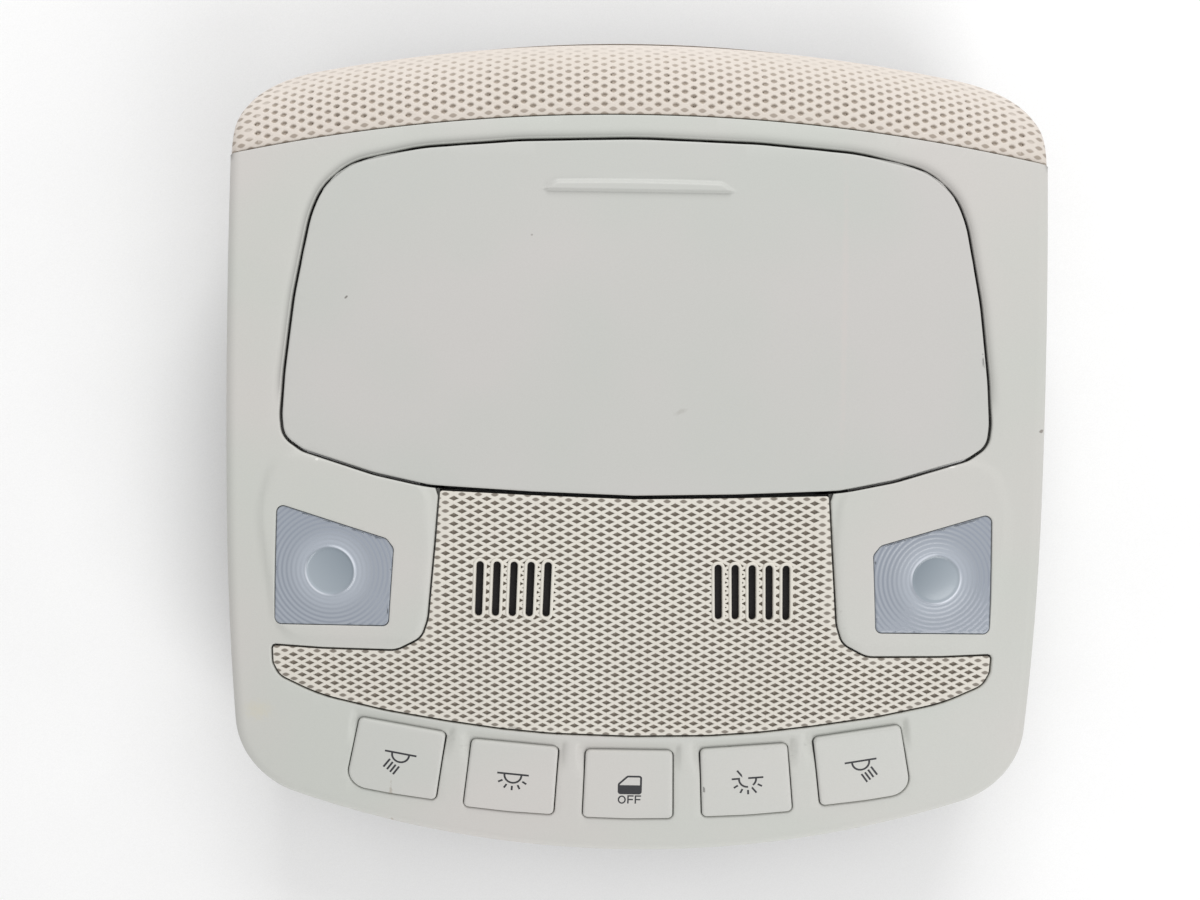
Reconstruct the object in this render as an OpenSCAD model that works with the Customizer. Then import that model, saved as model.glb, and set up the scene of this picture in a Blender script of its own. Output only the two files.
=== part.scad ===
// Car overhead console: map lamps, five buttons, microphone grille and a drop-down glasses bin.
// It lies on its back: +X to the right, +Y towards the rear band, +Z out of the face that is seen.

/* [Body] */
// Width across the sides
body_w = 240; // [232:1:250]
// Length from the front edge to the rear edge
body_l = 256; // [252:1:262]
// Height of the back rim above the screw boss feet
rim_z = 25; // [22:0.5:30]
// Height of the crown of the face above the back rim
crown = 38; // [36:0.5:42]
// Thickness of the moulded skins
wall = 2.5; // [2:0.1:3]
// Roundness of the outer edge of the face
edge_r = 3.5; // [2:0.1:4]

/* [Rear band] */
// How far the rolled band reaches back from the parting line
band_l = 31; // [28:0.5:33]
// Bore of the holes in the rear band
band_hole_d = 3.2; // [2.4:0.1:3.6]
// Distance between neighbouring holes of the band
band_pitch = 8.4; // [8:0.1:10]

/* [Door] */
// Running gap round the door and the buttons
gap = 0.9; // [0.7:0.05:1.1]
// Thickness of the door skin
door_t = 1.3; // [1.1:0.1:1.4]
// Opening angle of the door
door_angle = 72; // [60:1:74]
// Half width of the glasses bin outside
bin_hw = 80; // [74:1:81]
// Wall thickness of the glasses bin
bin_wall = 2; // [1.6:0.1:2.4]
// Height of the underside of the glasses bin above the feet
bin_floor_z = 18; // [16:0.5:22]
// Diameter of the hinge pins
pin_d = 3; // [2.6:0.1:3.4]

/* [Lamps] */
// Distance of the map lamps from the centre line
lamp_x = 89; // [88:0.5:89.5]
// Diameter of the round dome in each lens
dome_d = 14.2; // [12:0.2:16]
// Thickness of the lens plates
lens_t = 2.2; // [1.8:0.1:2.6]

/* [Buttons] */
// Travel of the buttons
key_travel = 1.5; // [1:0.1:1.8]
// Length of the buttons from front to rear
key_l = 24.5; // [23:0.1:25.5]
// Width of the buttons
key_w = 27.2; // [25:0.1:27.6]

/* [Grille] */
// Thickness of the microphone grille
grille_t = 2.4; // [2:0.1:3]
// Width of the ten long slots
slot_w = 2.2; // [1.8:0.1:2.6]
// Length of the ten long slots
slot_l = 16.5; // [14:0.5:18]
// Distance between neighbouring slots
slot_pitch = 5; // [4.4:0.1:5.4]

/* [Mounting] */
// Distance between the left and right screw bosses
boss_dx = 212; // [208:1:214]
// Distance between the front and rear screw bosses
boss_dy = 162; // [158:1:164]
// Pilot bore of the screw bosses
boss_bore = 3.4; // [3:0.1:4]
// Depth of the pilot bore
boss_depth = 12; // [10:0.5:16]

/* [Hidden] */
$fn = 48;
half_w = body_w / 2;
half_l = body_l / 2;

// Keys, grille and lamps keep their distance from the front edge; the door takes up the rest of the length.
fore_reach = 128;
fore_y = fore_reach - half_l;

// The face is two arcs in side view, a flat one over the door and a tighter one over the keys.
bend_slope = 0.08;
nose_r = 300;
crown_y = half_l - 87;
bend_y = fore_y - 15;
flat_r = (crown_y - bend_y) / bend_slope;
bend_a = asin(bend_slope);
top_z = rim_z + crown;
bend_z = top_z - flat_r * (1 - cos(bend_a));
function nose_a(y) = asin(sin(bend_a) + (bend_y - y) / nose_r);
function face_z(y) = y > bend_y
    ? top_z - flat_r + sqrt(flat_r * flat_r - (y - crown_y) * (y - crown_y))
    : bend_z - nose_r * (cos(bend_a) - cos(nose_a(y)));
function face_tilt(y) = y > bend_y ? asin((crown_y - y) / flat_r) : nose_a(y);

// The band behind the parting line follows an arc in plan and rolls down to the rim.
line_r = 545;
line_y = half_l - band_l;
line_z = face_z(line_y);
roll_slope = -tan(face_tilt(line_y));
roll_drop = line_z - rim_z - roll_slope * band_l;
function line_at(x) = line_y - line_r + sqrt(line_r * line_r - x * x);
function roll_q(x, y) = norm([x, y - line_y + line_r]) - line_r;
function roll_z(q) = line_z - roll_slope * q - roll_drop * pow(q / band_l, 2);
function skin_z(x, y) = roll_q(x, y) > 0 ? max(rim_z, roll_z(roll_q(x, y))) : face_z(y);

// Outline in plan: a bowed front edge, nearly straight sides, a gentler bow at the rear.
front_r = 290;
rear_r = 450;
corner_r = 26;
corner_x = half_w - corner_r;
front_cy = -half_l + front_r - sqrt(pow(front_r - corner_r, 2) - corner_x * corner_x);
rear_cy = half_l - rear_r + sqrt(pow(rear_r - corner_r, 2) - corner_x * corner_x);
front_sweep = asin(corner_x / (front_r - corner_r));
rear_sweep = asin(corner_x / (rear_r - corner_r));
side_ys = [for (i = [1 : 14]) front_cy + (rear_cy - front_cy) * i / 15];
function arc(cx, cy, r, a0, a1, n) = [for (i = [0 : n]) let (a = a0 + (a1 - a0) * i / n)
    [cx + r * cos(a), cy + r * sin(a)]];
function outline(d) = concat(
    arc(0, -half_l + front_r, front_r - d, -90 - front_sweep, -90 + front_sweep, 12),
    arc(corner_x, front_cy, corner_r - d, -90 + front_sweep, 0, 5),
    [for (y = side_ys) [half_w - d, y]],
    arc(corner_x, rear_cy, corner_r - d, 0, 90 - rear_sweep, 5),
    arc(0, half_l - rear_r, rear_r - d, 90 - rear_sweep, 90 + rear_sweep, 12),
    arc(-corner_x, rear_cy, corner_r - d, 90 + rear_sweep, 180, 5),
    [for (i = [len(side_ys) - 1 : -1 : 0]) [d - half_w, side_ys[i]]],
    arc(-corner_x, front_cy, corner_r - d, 180, 270 - front_sweep, 5));

function inside(p, d) = norm([p[0], p[1] - half_l + rear_r]) < rear_r - d && abs(p[0]) < half_w - d
    && (abs(p[0]) < corner_x || p[1] < rear_cy
        || norm([abs(p[0]) - corner_x, p[1] - rear_cy]) < corner_r - d);

// Convex blank of the whole console, each surface moved in by d and the top edge rounded by r.
function blank_points(d, r) = concat(
    [for (p = outline(d)) [p[0], p[1], rim_z - 1]],
    [for (k = [0 : 3]) let (a = 30 * k) for (p = outline(d + r * (1 - cos(a))))
        [p[0], p[1], max(rim_z, skin_z(p[0], p[1]) - d - r * (1 - sin(a)))]],
    [for (q = [0 : band_l / 6 : band_l], t = [-11 : 2.2 : 11])
        let (s = line_r + q - d * min(1, q / 9), p = [s * sin(t), line_y - line_r + s * cos(t)])
        if (inside(p, d + r / 2)) [p[0], p[1], max(rim_z, roll_z(q) - d)]]);
module blank(d, r) {
    p = blank_points(d, r);
    hull() polyhedron(p, [for (i = [0 : 3 : len(p) - 3]) [i, i + 1, i + 2]]);
}

// Slab between the face lowered by top and the face lowered by bottom.
slab_step = 6;
function face_line(d) = [for (y = [-half_l - 6 : slab_step : half_l + 6]) [y, face_z(y) - d]];
module slab(top, bottom) {
    n = len(face_line(0));
    rotate([90, 0, 90]) linear_extrude(body_w + 20, center = true)
        polygon(concat(face_line(top), [for (i = [n - 1 : -1 : 0]) face_line(bottom)[i]]));
}
module on_face(x, y, drop = 0) {
    translate([x, y, face_z(y)]) rotate([face_tilt(y), 0, 0]) translate([0, 0, -drop]) children();
}
module rounded(pts, r) { offset(r) offset(-r) polygon(pts); }

// Door outline in plan: flared sides, wide lower corners, slanted lower edges and a bowed middle.
door_in = 17;
door_hw = half_w - door_in;
door_low_y = fore_y - 14.5;
door_top_y = half_l - 38.4;
door_low_half = [[0, 0], [30, 0.8], [60, 2.3], [76, 5.7], [97, 12.3], [102.4, 16.1], [103, 22]];
door_top_half = [[97.6, 34.6], [95.3, 23.6], [92, 15.6], [88.5, 11.3], [84, 8.4], [76, 5.7], [64, 3.6],
    [52, 2.3], [35, 1.1], [17, 0.3], [0, 0]];
door_plan_hw = 103;
door_plan_side = 47.5;
door_rise = 22;
door_side_l = door_top_y - door_top_half[0][1] - door_low_y - door_rise;
function door_half() = concat(
    [for (p = door_low_half) [p[0] * door_hw / door_plan_hw, door_low_y + p[1]]],
    [for (p = [[102.2, 12.5], [99.6, 35]]) [p[0] * door_hw / door_plan_hw,
        door_low_y + door_rise + p[1] * door_side_l / door_plan_side]],
    [for (p = door_top_half) [p[0] * door_hw / door_plan_hw, door_top_y - p[1]]]);
module door_outline(d) {
    h = door_half();
    offset(delta = d) rounded(concat(h, [for (i = [len(h) - 2 : -1 : 1]) [-h[i][0], h[i][1]]]), 4);
}

// Hinge axis, ahead of the door edge and below the face.
hinge_y = door_low_y - 16;
hinge_z = top_z - 12.5;
neck_hw = 60;
neck_r = 20.8;
ear_t = 3;
hub_r = 4.4;
pin_clear = 0.05;
ear_x = neck_hw - ear_t;
module at_hinge() { translate([0, hinge_y, hinge_z]) rotate([90, 0, 90]) children(); }
module sector(r, a0, a1) {
    n = max(2, ceil((a1 - a0) / 12));
    polygon(concat([[0, 0]], arc(0, 0, r / cos((a1 - a0) / n / 2), a0, a1, n)));
}
module ring_sector(r0, r1, a0, a1) {
    difference() {
        intersection() { circle(r1, $fn = 96); sector(r1 + 1, a0, a1); }
        circle(r0, $fn = 96);
    }
}

// Involute teeth of the damper drive.
gear_m = 0.8;
gear_pa = 20;
pinion_n = 14;
sector_n = 40;
backlash = 0.22;
function inv_x(rb, t) = rb * (cos(t) + t * PI / 180 * sin(t));
function inv_y(rb, t) = rb * (sin(t) - t * PI / 180 * cos(t));
module gear_2d(n) {
    rp = gear_m * n / 2;
    rb = rp * cos(gear_pa);
    ra = rp + 0.7 * gear_m;
    rf = rp - 0.95 * gear_m;
    roll = tan(gear_pa) * 180 / PI;
    half = 90 / n - backlash / 2 / rp * 180 / PI + roll - gear_pa;
    t_end = sqrt(pow(ra / rb, 2) - 1) * 180 / PI;
    flank = [for (i = [0 : 4]) let (t = t_end * i / 4) [inv_x(rb, t), inv_y(rb, t)]];
    tooth = concat([[rf * cos(half), -rf * sin(half)]],
        [for (p = flank) [p[0] * cos(half) + p[1] * sin(half), p[1] * cos(half) - p[0] * sin(half)]]);
    circle(rf + 0.01, $fn = 96);
    for (k = [0 : n - 1]) rotate(360 * k / n)
        polygon(concat([[rf - 1, -rf * sin(half)]], tooth,
            [for (i = [len(tooth) - 1 : -1 : 0]) [tooth[i][0], -tooth[i][1]]], [[rf - 1, rf * sin(half)]]));
}
pinion_r = gear_m * pinion_n / 2;
sector_r = gear_m * sector_n / 2;
pinion_dir = -99;
gear_c = pinion_r + sector_r;

// Openings in the face, in plan.
module lens_outline(d) {
    translate([lamp_x - 89, fore_y]) offset(delta = d) rounded([[104.4, -18.3], [72.5, -28.2], [70.4, -31],
        [72.2, -54.3], [105.8, -54.1]], 1.8);
}
function grille_half() = [[0, -16.6], [57, -16.6], [58.3, -30], [59.4, -41.6], [60.4, -52], [62.4, -57.9],
    [66.2, -61.1], [70, -61.9], [92, -61.5], [106, -60.6], [107, -61.6], [107, -66.1], [105.2, -70.1],
    [100.7, -72.9], [93.6, -75.9], [87.2, -77.8], [73.6, -80.7], [55.4, -83.8], [39, -86.1], [24, -87.4],
    [0, -88]];
module grille_outline(d) {
    h = grille_half();
    translate([0, fore_y]) offset(delta = d)
        polygon(concat(h, [for (i = [len(h) - 2 : -1 : 1]) [-h[i][0], h[i][1]]]));
}
module behind_line(d) {
    difference() {
        translate([-half_w - 5, line_y - 37]) square([body_w + 10, half_l]);
        translate([0, line_y - line_r]) circle(line_r + d, $fn = 240);
    }
}

// The keys lie in one tilted plane that touches the face, on a bow that follows the front edge.
key_y = -half_l + 23.7;
key_z = face_z(key_y);
key_tilt = face_tilt(key_y);
key_step = 35.9;
key_bow = 318;
key_grip = 1.4;
function key_u(k) = k == 0 ? 0 : sign(k) * (abs(k) == 1 ? key_step : 2 * key_step - 0.8);
function key_turn(k) = asin(key_u(k) / key_bow) * 0.84;
function key_v(k) = key_bow - sqrt(key_bow * key_bow - key_u(k) * key_u(k));
module in_key_frame() { translate([0, key_y, key_z]) rotate([key_tilt, 0, 0]) children(); }
module at_key(k) { in_key_frame() translate([key_u(k), key_v(k), 0]) rotate(key_turn(k)) children(); }
module key_outline(k, d) {
    r_out = abs(k) == 2 ? 9 : 1.6;
    top = key_w / 2 - 0.4;
    low = key_w / 2 + 0.4;
    s = k == 0 ? 1 : sign(k);
    offset(delta = d) scale([s, 1]) union() {
        rounded([[-top, key_l / 2], [top, key_l / 2], [low, -key_l / 2], [0, -key_l / 2 - 0.4],
            [-low, -key_l / 2]], 1.6);
    }
}
module key_shape(k, d) {
    s = k < 0 ? -1 : 1;
    difference() {
        key_outline(k, d);
        if (abs(k) == 2) scale([s, 1]) difference() {
            translate([key_w / 2 - 8 + d, -key_l / 2 - 3 - d]) square(12);
            translate([key_w / 2 - 8, -key_l / 2 + 9]) circle(9 + d);
        }
    }
}

// Bosses, posts and ribs on the back of the bezel.
boss_y = -3;
boss_r = 5;
post_r = 4;
post_x = half_w - 10;
post_y = [door_low_y + 28.5, door_top_y - 27.6];
plate_z = hinge_z - 2.5;
plate_t = 2.5;
rib_x = half_w - wall - 4.5;
rib_t = 2.4;
clip_y = [fore_y - 40, door_top_y - 47.6];
module boss_places() {
    for (x = [-1, 1], y = [-1, 1]) translate([x * boss_dx / 2, boss_y + y * boss_dy / 2, 0]) children();
}
ledge = 1.3;
module above_rim() { translate([0, 0, rim_z]) linear_extrude(crown + 9) children(); }
module wall_ring(depth) {
    difference() {
        intersection() { slab(1.2, depth); above_rim() children(0); }
        translate([-neck_hw - 4, hinge_y, hinge_z - 20]) cube([2 * neck_hw + 8, 30, 40]);
    }
}
module bezel() {
    color("gainsboro") difference() {
        union() {
            difference() {
                blank(0, edge_r);
                translate([0, 0, -0.01]) intersection() {
                    blank(wall, 1);
                    translate([-half_w, -half_l, rim_z - 1]) cube([body_w, body_l, crown + 9]);
                }
                translate([-half_w - 5, -half_l - 5, rim_z - 5]) cube([body_w + 10, body_l + 10, 5]);
            }
            intersection() {
                blank(1, 1);
                union() {
                    for (s = [-1, 1], y = post_y) translate([s * post_x, y, plate_z + plate_t])
                        cylinder(crown, r = post_r);
                    for (s = [-1, 1], y = clip_y) translate([s * (rib_x + rib_t / 2), y, rim_z])
                        translate([s < 0 ? -4 : 0, -1, 0]) cube([4, 2, crown]);
                }
            }
            intersection() {
                union() {
                    boss_places() cylinder(rim_z + crown, r = boss_r);
                    for (s = [-1, 1], y = clip_y) translate([s * (rib_x + rib_t / 2) - rib_t / 2, y - 6, 3])
                        cube([rib_t, 12, crown + 12]);
                }
                union() {
                    translate([0, 0, -1]) blank(1, 1);
                    translate([-half_w, -half_l, -1]) cube([body_w, body_l, rim_z + 1]);
                }
            }
            wall_ring(7) difference() { door_outline(gap + 2); door_outline(gap); }
            for (s = [0, 1]) mirror([s, 0, 0]) wall_ring(lens_t + 3) difference() {
                lens_outline(1.8);
                lens_outline(-ledge);
            }
            wall_ring(grille_t + 1.6) difference() { grille_outline(1.4); grille_outline(-ledge); }
            for (k = [-2 : 2]) at_key(k) translate([0, 0, -6]) linear_extrude(4.6) difference() {
                key_shape(k, 0.3 + 1.5);
                key_shape(k, 0.3);
            }
        }
        translate([0, 0, rim_z - 1]) linear_extrude(crown + 9) behind_line(0);
        above_rim() door_outline(gap);
        for (s = [0, 1]) mirror([s, 0, 0]) {
            intersection() { slab(-6, lens_t + 0.05); above_rim() lens_outline(0.15); }
            above_rim() lens_outline(-ledge);
        }
        intersection() { slab(-6, grille_t + 0.05); above_rim() grille_outline(0.2); }
        above_rim() grille_outline(-ledge);
        for (k = [-2 : 2]) at_key(k) translate([0, 0, -8]) linear_extrude(16) key_shape(k, 0.3);
        boss_places() translate([0, 0, -1]) cylinder(boss_depth + 1, d = boss_bore);
    }
}

// Rear band: a perforated cover, its holes on staggered rows struck from the same centre as the line.
band_rows = [3.6, 6.2, 8.8, 11.4, 14.2, 17.2];
function roll_tilt(q) = atan(roll_slope + 2 * roll_drop * q / band_l / band_l);
module band_hole(q, a) {
    translate([0, line_y - line_r, 0]) rotate(a) translate([0, line_r + q, roll_z(q)])
        rotate([-roll_tilt(q), 0, 0]) translate([0, 0, -wall - 2])
            cylinder(wall + 4, d = band_hole_d, $fn = 16);
}
module rear_band() {
    color("tan") difference() {
        intersection() {
            blank(0, edge_r);
            above_rim() behind_line(0.25);
        }
        intersection() {
            blank(wall, 1);
            translate([-half_w, 0, rim_z - 3]) cube([body_w, body_l, crown + 9]);
        }
        translate([-half_w, 0, rim_z - 3]) cube([body_w, body_l, 3]);
        for (i = [0 : len(band_rows) - 1], c = [-10 : 9])
            band_hole(band_rows[i], (c + (i % 2 == 0 ? 0.25 : 0.75)) * band_pitch / line_r * 180 / PI * 1.25);
    }
}

// Grille insert: ten slots with raised rims, blind diamond pits and two microphone cups.
mic_x = slot_pitch * 7.05;
mic_y = fore_y - 42.7;
mic_d = 9.7;
mic_h = 5;
pit_dx = 9.4;
pit_dy = 4.6;
pit_w = 5;
pit_l = 2.5;
pit_depth = 1.3;
slot_lean = 2;
module slot_2d(d) {
    rotate(-slot_lean) {
        square([slot_w + 2 * d, slot_l - slot_w], center = true);
        for (s = [-1, 1]) translate([0, s * (slot_l - slot_w) / 2]) circle(slot_w / 2 + d, $fn = 24);
    }
}
module slots() {
    for (s = [0, 1], i = [-2 : 2]) mirror([s, 0, 0]) translate([mic_x + slot_pitch * i, mic_y]) children();
}
module mic_grille() {
    color("antiquewhite") difference() {
        union() {
            intersection() {
                slab(0.1, grille_t);
                above_rim() grille_outline(-0.1);
            }
            intersection() {
                slab(-0.4, 1);
                above_rim() slots() slot_2d(0.9);
            }
            for (s = [-1, 1]) on_face(s * mic_x, mic_y, grille_t + mic_h + 0.4) difference() {
                cylinder(mic_h + 0.8, d = mic_d + 3);
                translate([0, 0, -1]) cylinder(mic_h + 1.4, d = mic_d + 0.1);
            }
        }
        above_rim() slots() slot_2d(0);
        intersection() {
            slab(-1, pit_depth);
            above_rim() for (r = [0 : 12], c = [-6 : 6]) {
                x = (c + (r % 2) / 2) * pit_dx;
                y = fore_y - 23 - r * pit_dy;
                by_slots = abs(y - mic_y) < slot_l / 2 + 2.6 && abs(abs(x) - mic_x) < 2.5 * slot_pitch + 1.7;
                if (abs(x) < 54 && !by_slots) translate([x, y])
                    polygon([[-pit_w / 2, 0], [0, -pit_l / 2], [pit_w / 2, 0], [0, pit_l / 2]]);
            }
        }
    }
}
module microphone(s) {
    color("silver") on_face(s * mic_x, mic_y, grille_t + mic_h) {
        cylinder(mic_h - 0.1, d = mic_d);
        for (y = [-1.3, 1.3]) translate([0, y, -3]) cylinder(3, d = 0.6);
    }
}
module microphone_left() { microphone(-1); }
module microphone_right() { microphone(1); }

// Door skin with its push ridge, glued to the rim of the bin.
ridge_l = 56;
ridge_w = 3.5;
lip_in = 2.4;
lip_t = 1.6;
lip_h = 1.2;
module plan_cut() { linear_extrude(top_z + 10) children(); }
module door_panel() {
    color("gainsboro") union() {
        intersection() { slab(0, door_t); plan_cut() door_outline(0); }
        intersection() {
            slab(door_t - 0.2, door_t + lip_h);
            plan_cut() difference() {
                door_outline(-lip_in);
                door_outline(-lip_in - lip_t);
                translate([-bin_hw - 0.4, -half_l])
                    square([2 * bin_hw + 0.8, half_l + hinge_y + bin_rear_r + 0.4]);
                translate([-tab_w / 2 - 0.4, fore_y]) square([tab_w + 0.8, body_l]);
            }
            translate([-half_w, fore_y - 6, 0]) cube([body_w, body_l, top_z + 10]);
        }
        intersection() {
            slab(-0.9, 0.5);
            plan_cut() translate([0, door_top_y - 13.6]) hull() {
                square([ridge_l - 6, ridge_w], center = true);
                square([ridge_l, ridge_w / 3], center = true);
            }
        }
    }
}

// Glasses bin: a wide tray and a narrower neck whose front wall is struck from the hinge axis.
tray_front = 32.5;
bin_rear_r = door_top_y - 7.1 - hinge_y;
bin_low = bin_floor_z - hinge_z;
neck_low = [24, bin_low];
neck_front = 12.7;
tab_w = 30;
tab_l = 7;
tab_t = 2;
module tray_side(d) {
    intersection() {
        circle(bin_rear_r - d, $fn = 240);
        translate([tray_front + d, bin_low + d]) square([bin_rear_r, 80]);
    }
}
module neck_side(d) {
    difference() {
        polygon([[neck_front + d, -16.5 + d / 2], [neck_low[0] + d, neck_low[1] + d],
            [60, neck_low[1] + d], [60, 22], [neck_front + d, 22]]);
        circle(neck_r + d, $fn = 120);
    }
}
module across(w) { at_hinge() linear_extrude(w, center = true) children(); }
module ear_2d() {
    difference() {
        union() {
            circle(hub_r);
            polygon([[0, hub_r - 0.5], [3, hub_r - 2], [12.2, -15.5], neck_low + [4, 2], neck_low + [4, 0.1],
                [9, bin_low + 6], [3.4, -14], [-1, -2]]);
        }
        circle(d = pin_d + 2 * pin_clear);
    }
}
module glasses_bin() {
    color("dimgray") difference() {
        union() {
            intersection() {
                slab(door_t, crown + rim_z);
                union() { across(2 * bin_hw) tray_side(0); across(2 * neck_hw) neck_side(0); }
            }
            for (s = [-1, 1]) translate([s * (neck_hw - ear_t / 2), 0, 0]) across(ear_t) ear_2d();
            translate([-neck_hw + ear_t / 2, 0, 0]) across(ear_t) intersection() {
                rotate(pinion_dir + 180 / sector_n) gear_2d(sector_n);
                difference() {
                    sector(sector_r + 2, pinion_dir - door_angle - 12, pinion_dir + 14);
                    circle(d = pin_d + 2 * pin_clear);
                }
            }
            intersection() {
                slab(door_t, door_t + tab_t);
                plan_cut() translate([-tab_w / 2, hinge_y + bin_rear_r - 3]) square([tab_w, tab_l + 3]);
            }
        }
        intersection() {
            slab(-1, crown + rim_z);
            union() {
                across(2 * (bin_hw - bin_wall)) tray_side(bin_wall);
                across(2 * (neck_hw - ear_t)) neck_side(bin_wall);
            }
        }
    }
}
liner_t = 1.5;
striker_t = 1;
striker_w = 12;
module bin_liner() {
    w = bin_hw - bin_wall - liner_t;
    color("black") translate([-w, hinge_y + tray_front + 4, bin_floor_z + bin_wall + 0.05])
        cube([2 * w, bin_rear_r - tray_front - 16.5, liner_t]);
}
striker_y = hinge_y + bin_rear_r + 4.6;
striker_drop = door_t + tab_t + 0.05 + striker_t;
module striker_plate() {
    color("silver") on_face(0, striker_y, striker_drop) translate([-striker_w / 2, -2.2, 0])
        cube([striker_w, 4.4, striker_t]);
}

// Carrier frame: a plate round the bin, two cheeks for the hinge, a rear wall for the latch.
plate_hw = rib_x - 0.4;
cheek_gap = 0.4;
cheek_t = 3;
cheek_z = 19;
cheek_x = neck_hw + cheek_gap;
bin_clear = 1.8;
cuff_t = 2.5;
cuff_z = 24;
cuff_l = hinge_y + bin_rear_r - 3 + cuff_t - fore_y;
pinion_y = hinge_y + gear_c * cos(pinion_dir);
pinion_z = hinge_z + gear_c * sin(pinion_dir);
damper_bore = 4;
module carrier_frame() {
    color("darkslategray") difference() {
        union() {
            translate([0, 0, plate_z]) linear_extrude(plate_t) difference() {
                offset(3) offset(-3) polygon([[-plate_hw, fore_y + 4], [-plate_hw, door_top_y - 15.6],
                    [-88, door_top_y + 2.4], [88, door_top_y + 2.4], [plate_hw, door_top_y - 15.6],
                    [plate_hw, fore_y + 4], [68, fore_y - 6], [-68, fore_y - 6]]);
                translate([-bin_hw - bin_clear, tray_front + hinge_y - bin_clear])
                    square([2 * (bin_hw + bin_clear), bin_rear_r - tray_front + 2 * bin_clear]);
                translate([-cheek_x, hinge_y + 10.5]) square([2 * cheek_x, 60]);
            }
            for (s = [-1, 1]) translate([s * (cheek_x + cheek_t / 2), 0, 0]) rotate([90, 0, 90])
                linear_extrude(cheek_t, center = true) polygon([[hinge_y - 14, cheek_z],
                    [hinge_y + 31, cheek_z], [hinge_y + 31, hinge_z + 4], [hinge_y - 5, hinge_z + 4],
                    [hinge_y - 14, hinge_z]]);
            for (s = [-1, 1])
                translate([s * (bin_hw + bin_clear + cuff_t / 2) - cuff_t / 2, fore_y - cuff_t, cuff_z])
                    cube([cuff_t, cuff_l, plate_z + 1 - cuff_z]);
            for (x = [-40, 10]) translate([x, hinge_y + bin_rear_r + bin_clear, cuff_z])
                cube([30, cuff_t, plate_z + 1 - cuff_z]);
            for (s = [0, 1]) mirror([s, 0, 0]) translate([cheek_x, fore_y - cuff_t, cuff_z])
                cube([bin_hw + bin_clear + cuff_t - cheek_x, cuff_t - 0.5, plate_z + 1 - cuff_z]);
        }
        translate([-neck_hw - 20, hinge_y, hinge_z]) rotate([0, 90, 0])
            cylinder(2 * neck_hw + 40, d = pin_d + 0.02);
        translate([-neck_hw - 20, pinion_y, pinion_z]) rotate([0, 90, 0])
            cylinder(25, d = damper_bore + 0.4);
        for (s = [-1, 1], y = post_y) translate([s * post_x, y, plate_z - 1]) cylinder(plate_t + 2, d = 3.4);
        boss_places() translate([0, 0, plate_z - 1]) cylinder(plate_t + 2, r = boss_r + 0.6);
        translate([0, striker_y, plate_z - 1]) cylinder(plate_t + 2, d = plunger_d + 3.4);
    }
}
module hinge_pin(s) {
    color("silver") translate([s > 0 ? neck_hw - ear_t : -cheek_x - cheek_t, hinge_y, hinge_z])
        rotate([0, 90, 0]) cylinder(cheek_x + cheek_t - neck_hw + ear_t, d = pin_d);
}
module hinge_pin_left() { hinge_pin(-1); }
module hinge_pin_right() { hinge_pin(1); }
module damper_body() {
    color("black") translate([-cheek_x - cheek_t - 0.05, pinion_y, pinion_z]) rotate([0, -90, 0]) {
        cylinder(8, d = 15);
        for (a = [0, 180]) rotate(a) translate([0, -3, 0]) cube([11, 6, 1.6]);
    }
}
module damper_gear() {
    color("white") translate([-neck_hw, pinion_y, pinion_z]) rotate([90, 0, 90]) {
        linear_extrude(ear_t) rotate(pinion_dir + 180) gear_2d(pinion_n);
        translate([0, 0, -cheek_gap - cheek_t + 0.1]) cylinder(cheek_gap + cheek_t, d = damper_bore);
    }
}
bumper_x = 40;
bumper_y = hinge_y + bin_rear_r + bin_clear + 2;
bumper_r = 1.9;
module door_bumpers() {
    h = face_z(bumper_y) - door_t - lip_h - 0.3 - plate_z - plate_t;
    color("black") for (s = [-1, 1]) translate([s * bumper_x, bumper_y, plate_z + plate_t])
        cylinder(h, r1 = bumper_r, r2 = bumper_r - 0.4);
}

// Touch latch under the rear edge of the door.
latch_top = face_z(striker_y) - striker_drop - 0.35;
plunger_d = 6;
plunger_l = 14;
plunger_travel = 2;
latch_low = 30;
spring_d = 4.6;
spring_wire = 0.6;
module latch_housing() {
    color("black") difference() {
        union() {
            translate([-10, striker_y - 2.6, plate_z - 2]) cube([20, 7, 1.95]);
            translate([0, striker_y, latch_low])
                cylinder(latch_top - plunger_travel - 1 - latch_low, d = plunger_d + 3);
        }
        translate([0, striker_y, latch_low + 2]) cylinder(40, d = plunger_d + 0.1);
    }
}
module latch_plunger() {
    color("dimgray") translate([0, striker_y, latch_top - plunger_l]) difference() {
        cylinder(plunger_l, d = plunger_d);
        translate([0, 0, -1]) cylinder(6, d = spring_d + 0.3);
    }
}
module latch_spring() {
    z0 = latch_low + 2.05;
    z1 = latch_top - plunger_l + 5 - 0.05;
    turns = 5;
    color("silver") translate([0, striker_y, 0]) for (i = [0 : turns])
        translate([0, 0, z0 + spring_wire / 2 + (z1 - z0 - spring_wire) * i / turns])
            rotate_extrude() translate([spring_d / 2 - spring_wire / 2, 0]) circle(d = spring_wire, $fn = 16);
}

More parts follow.
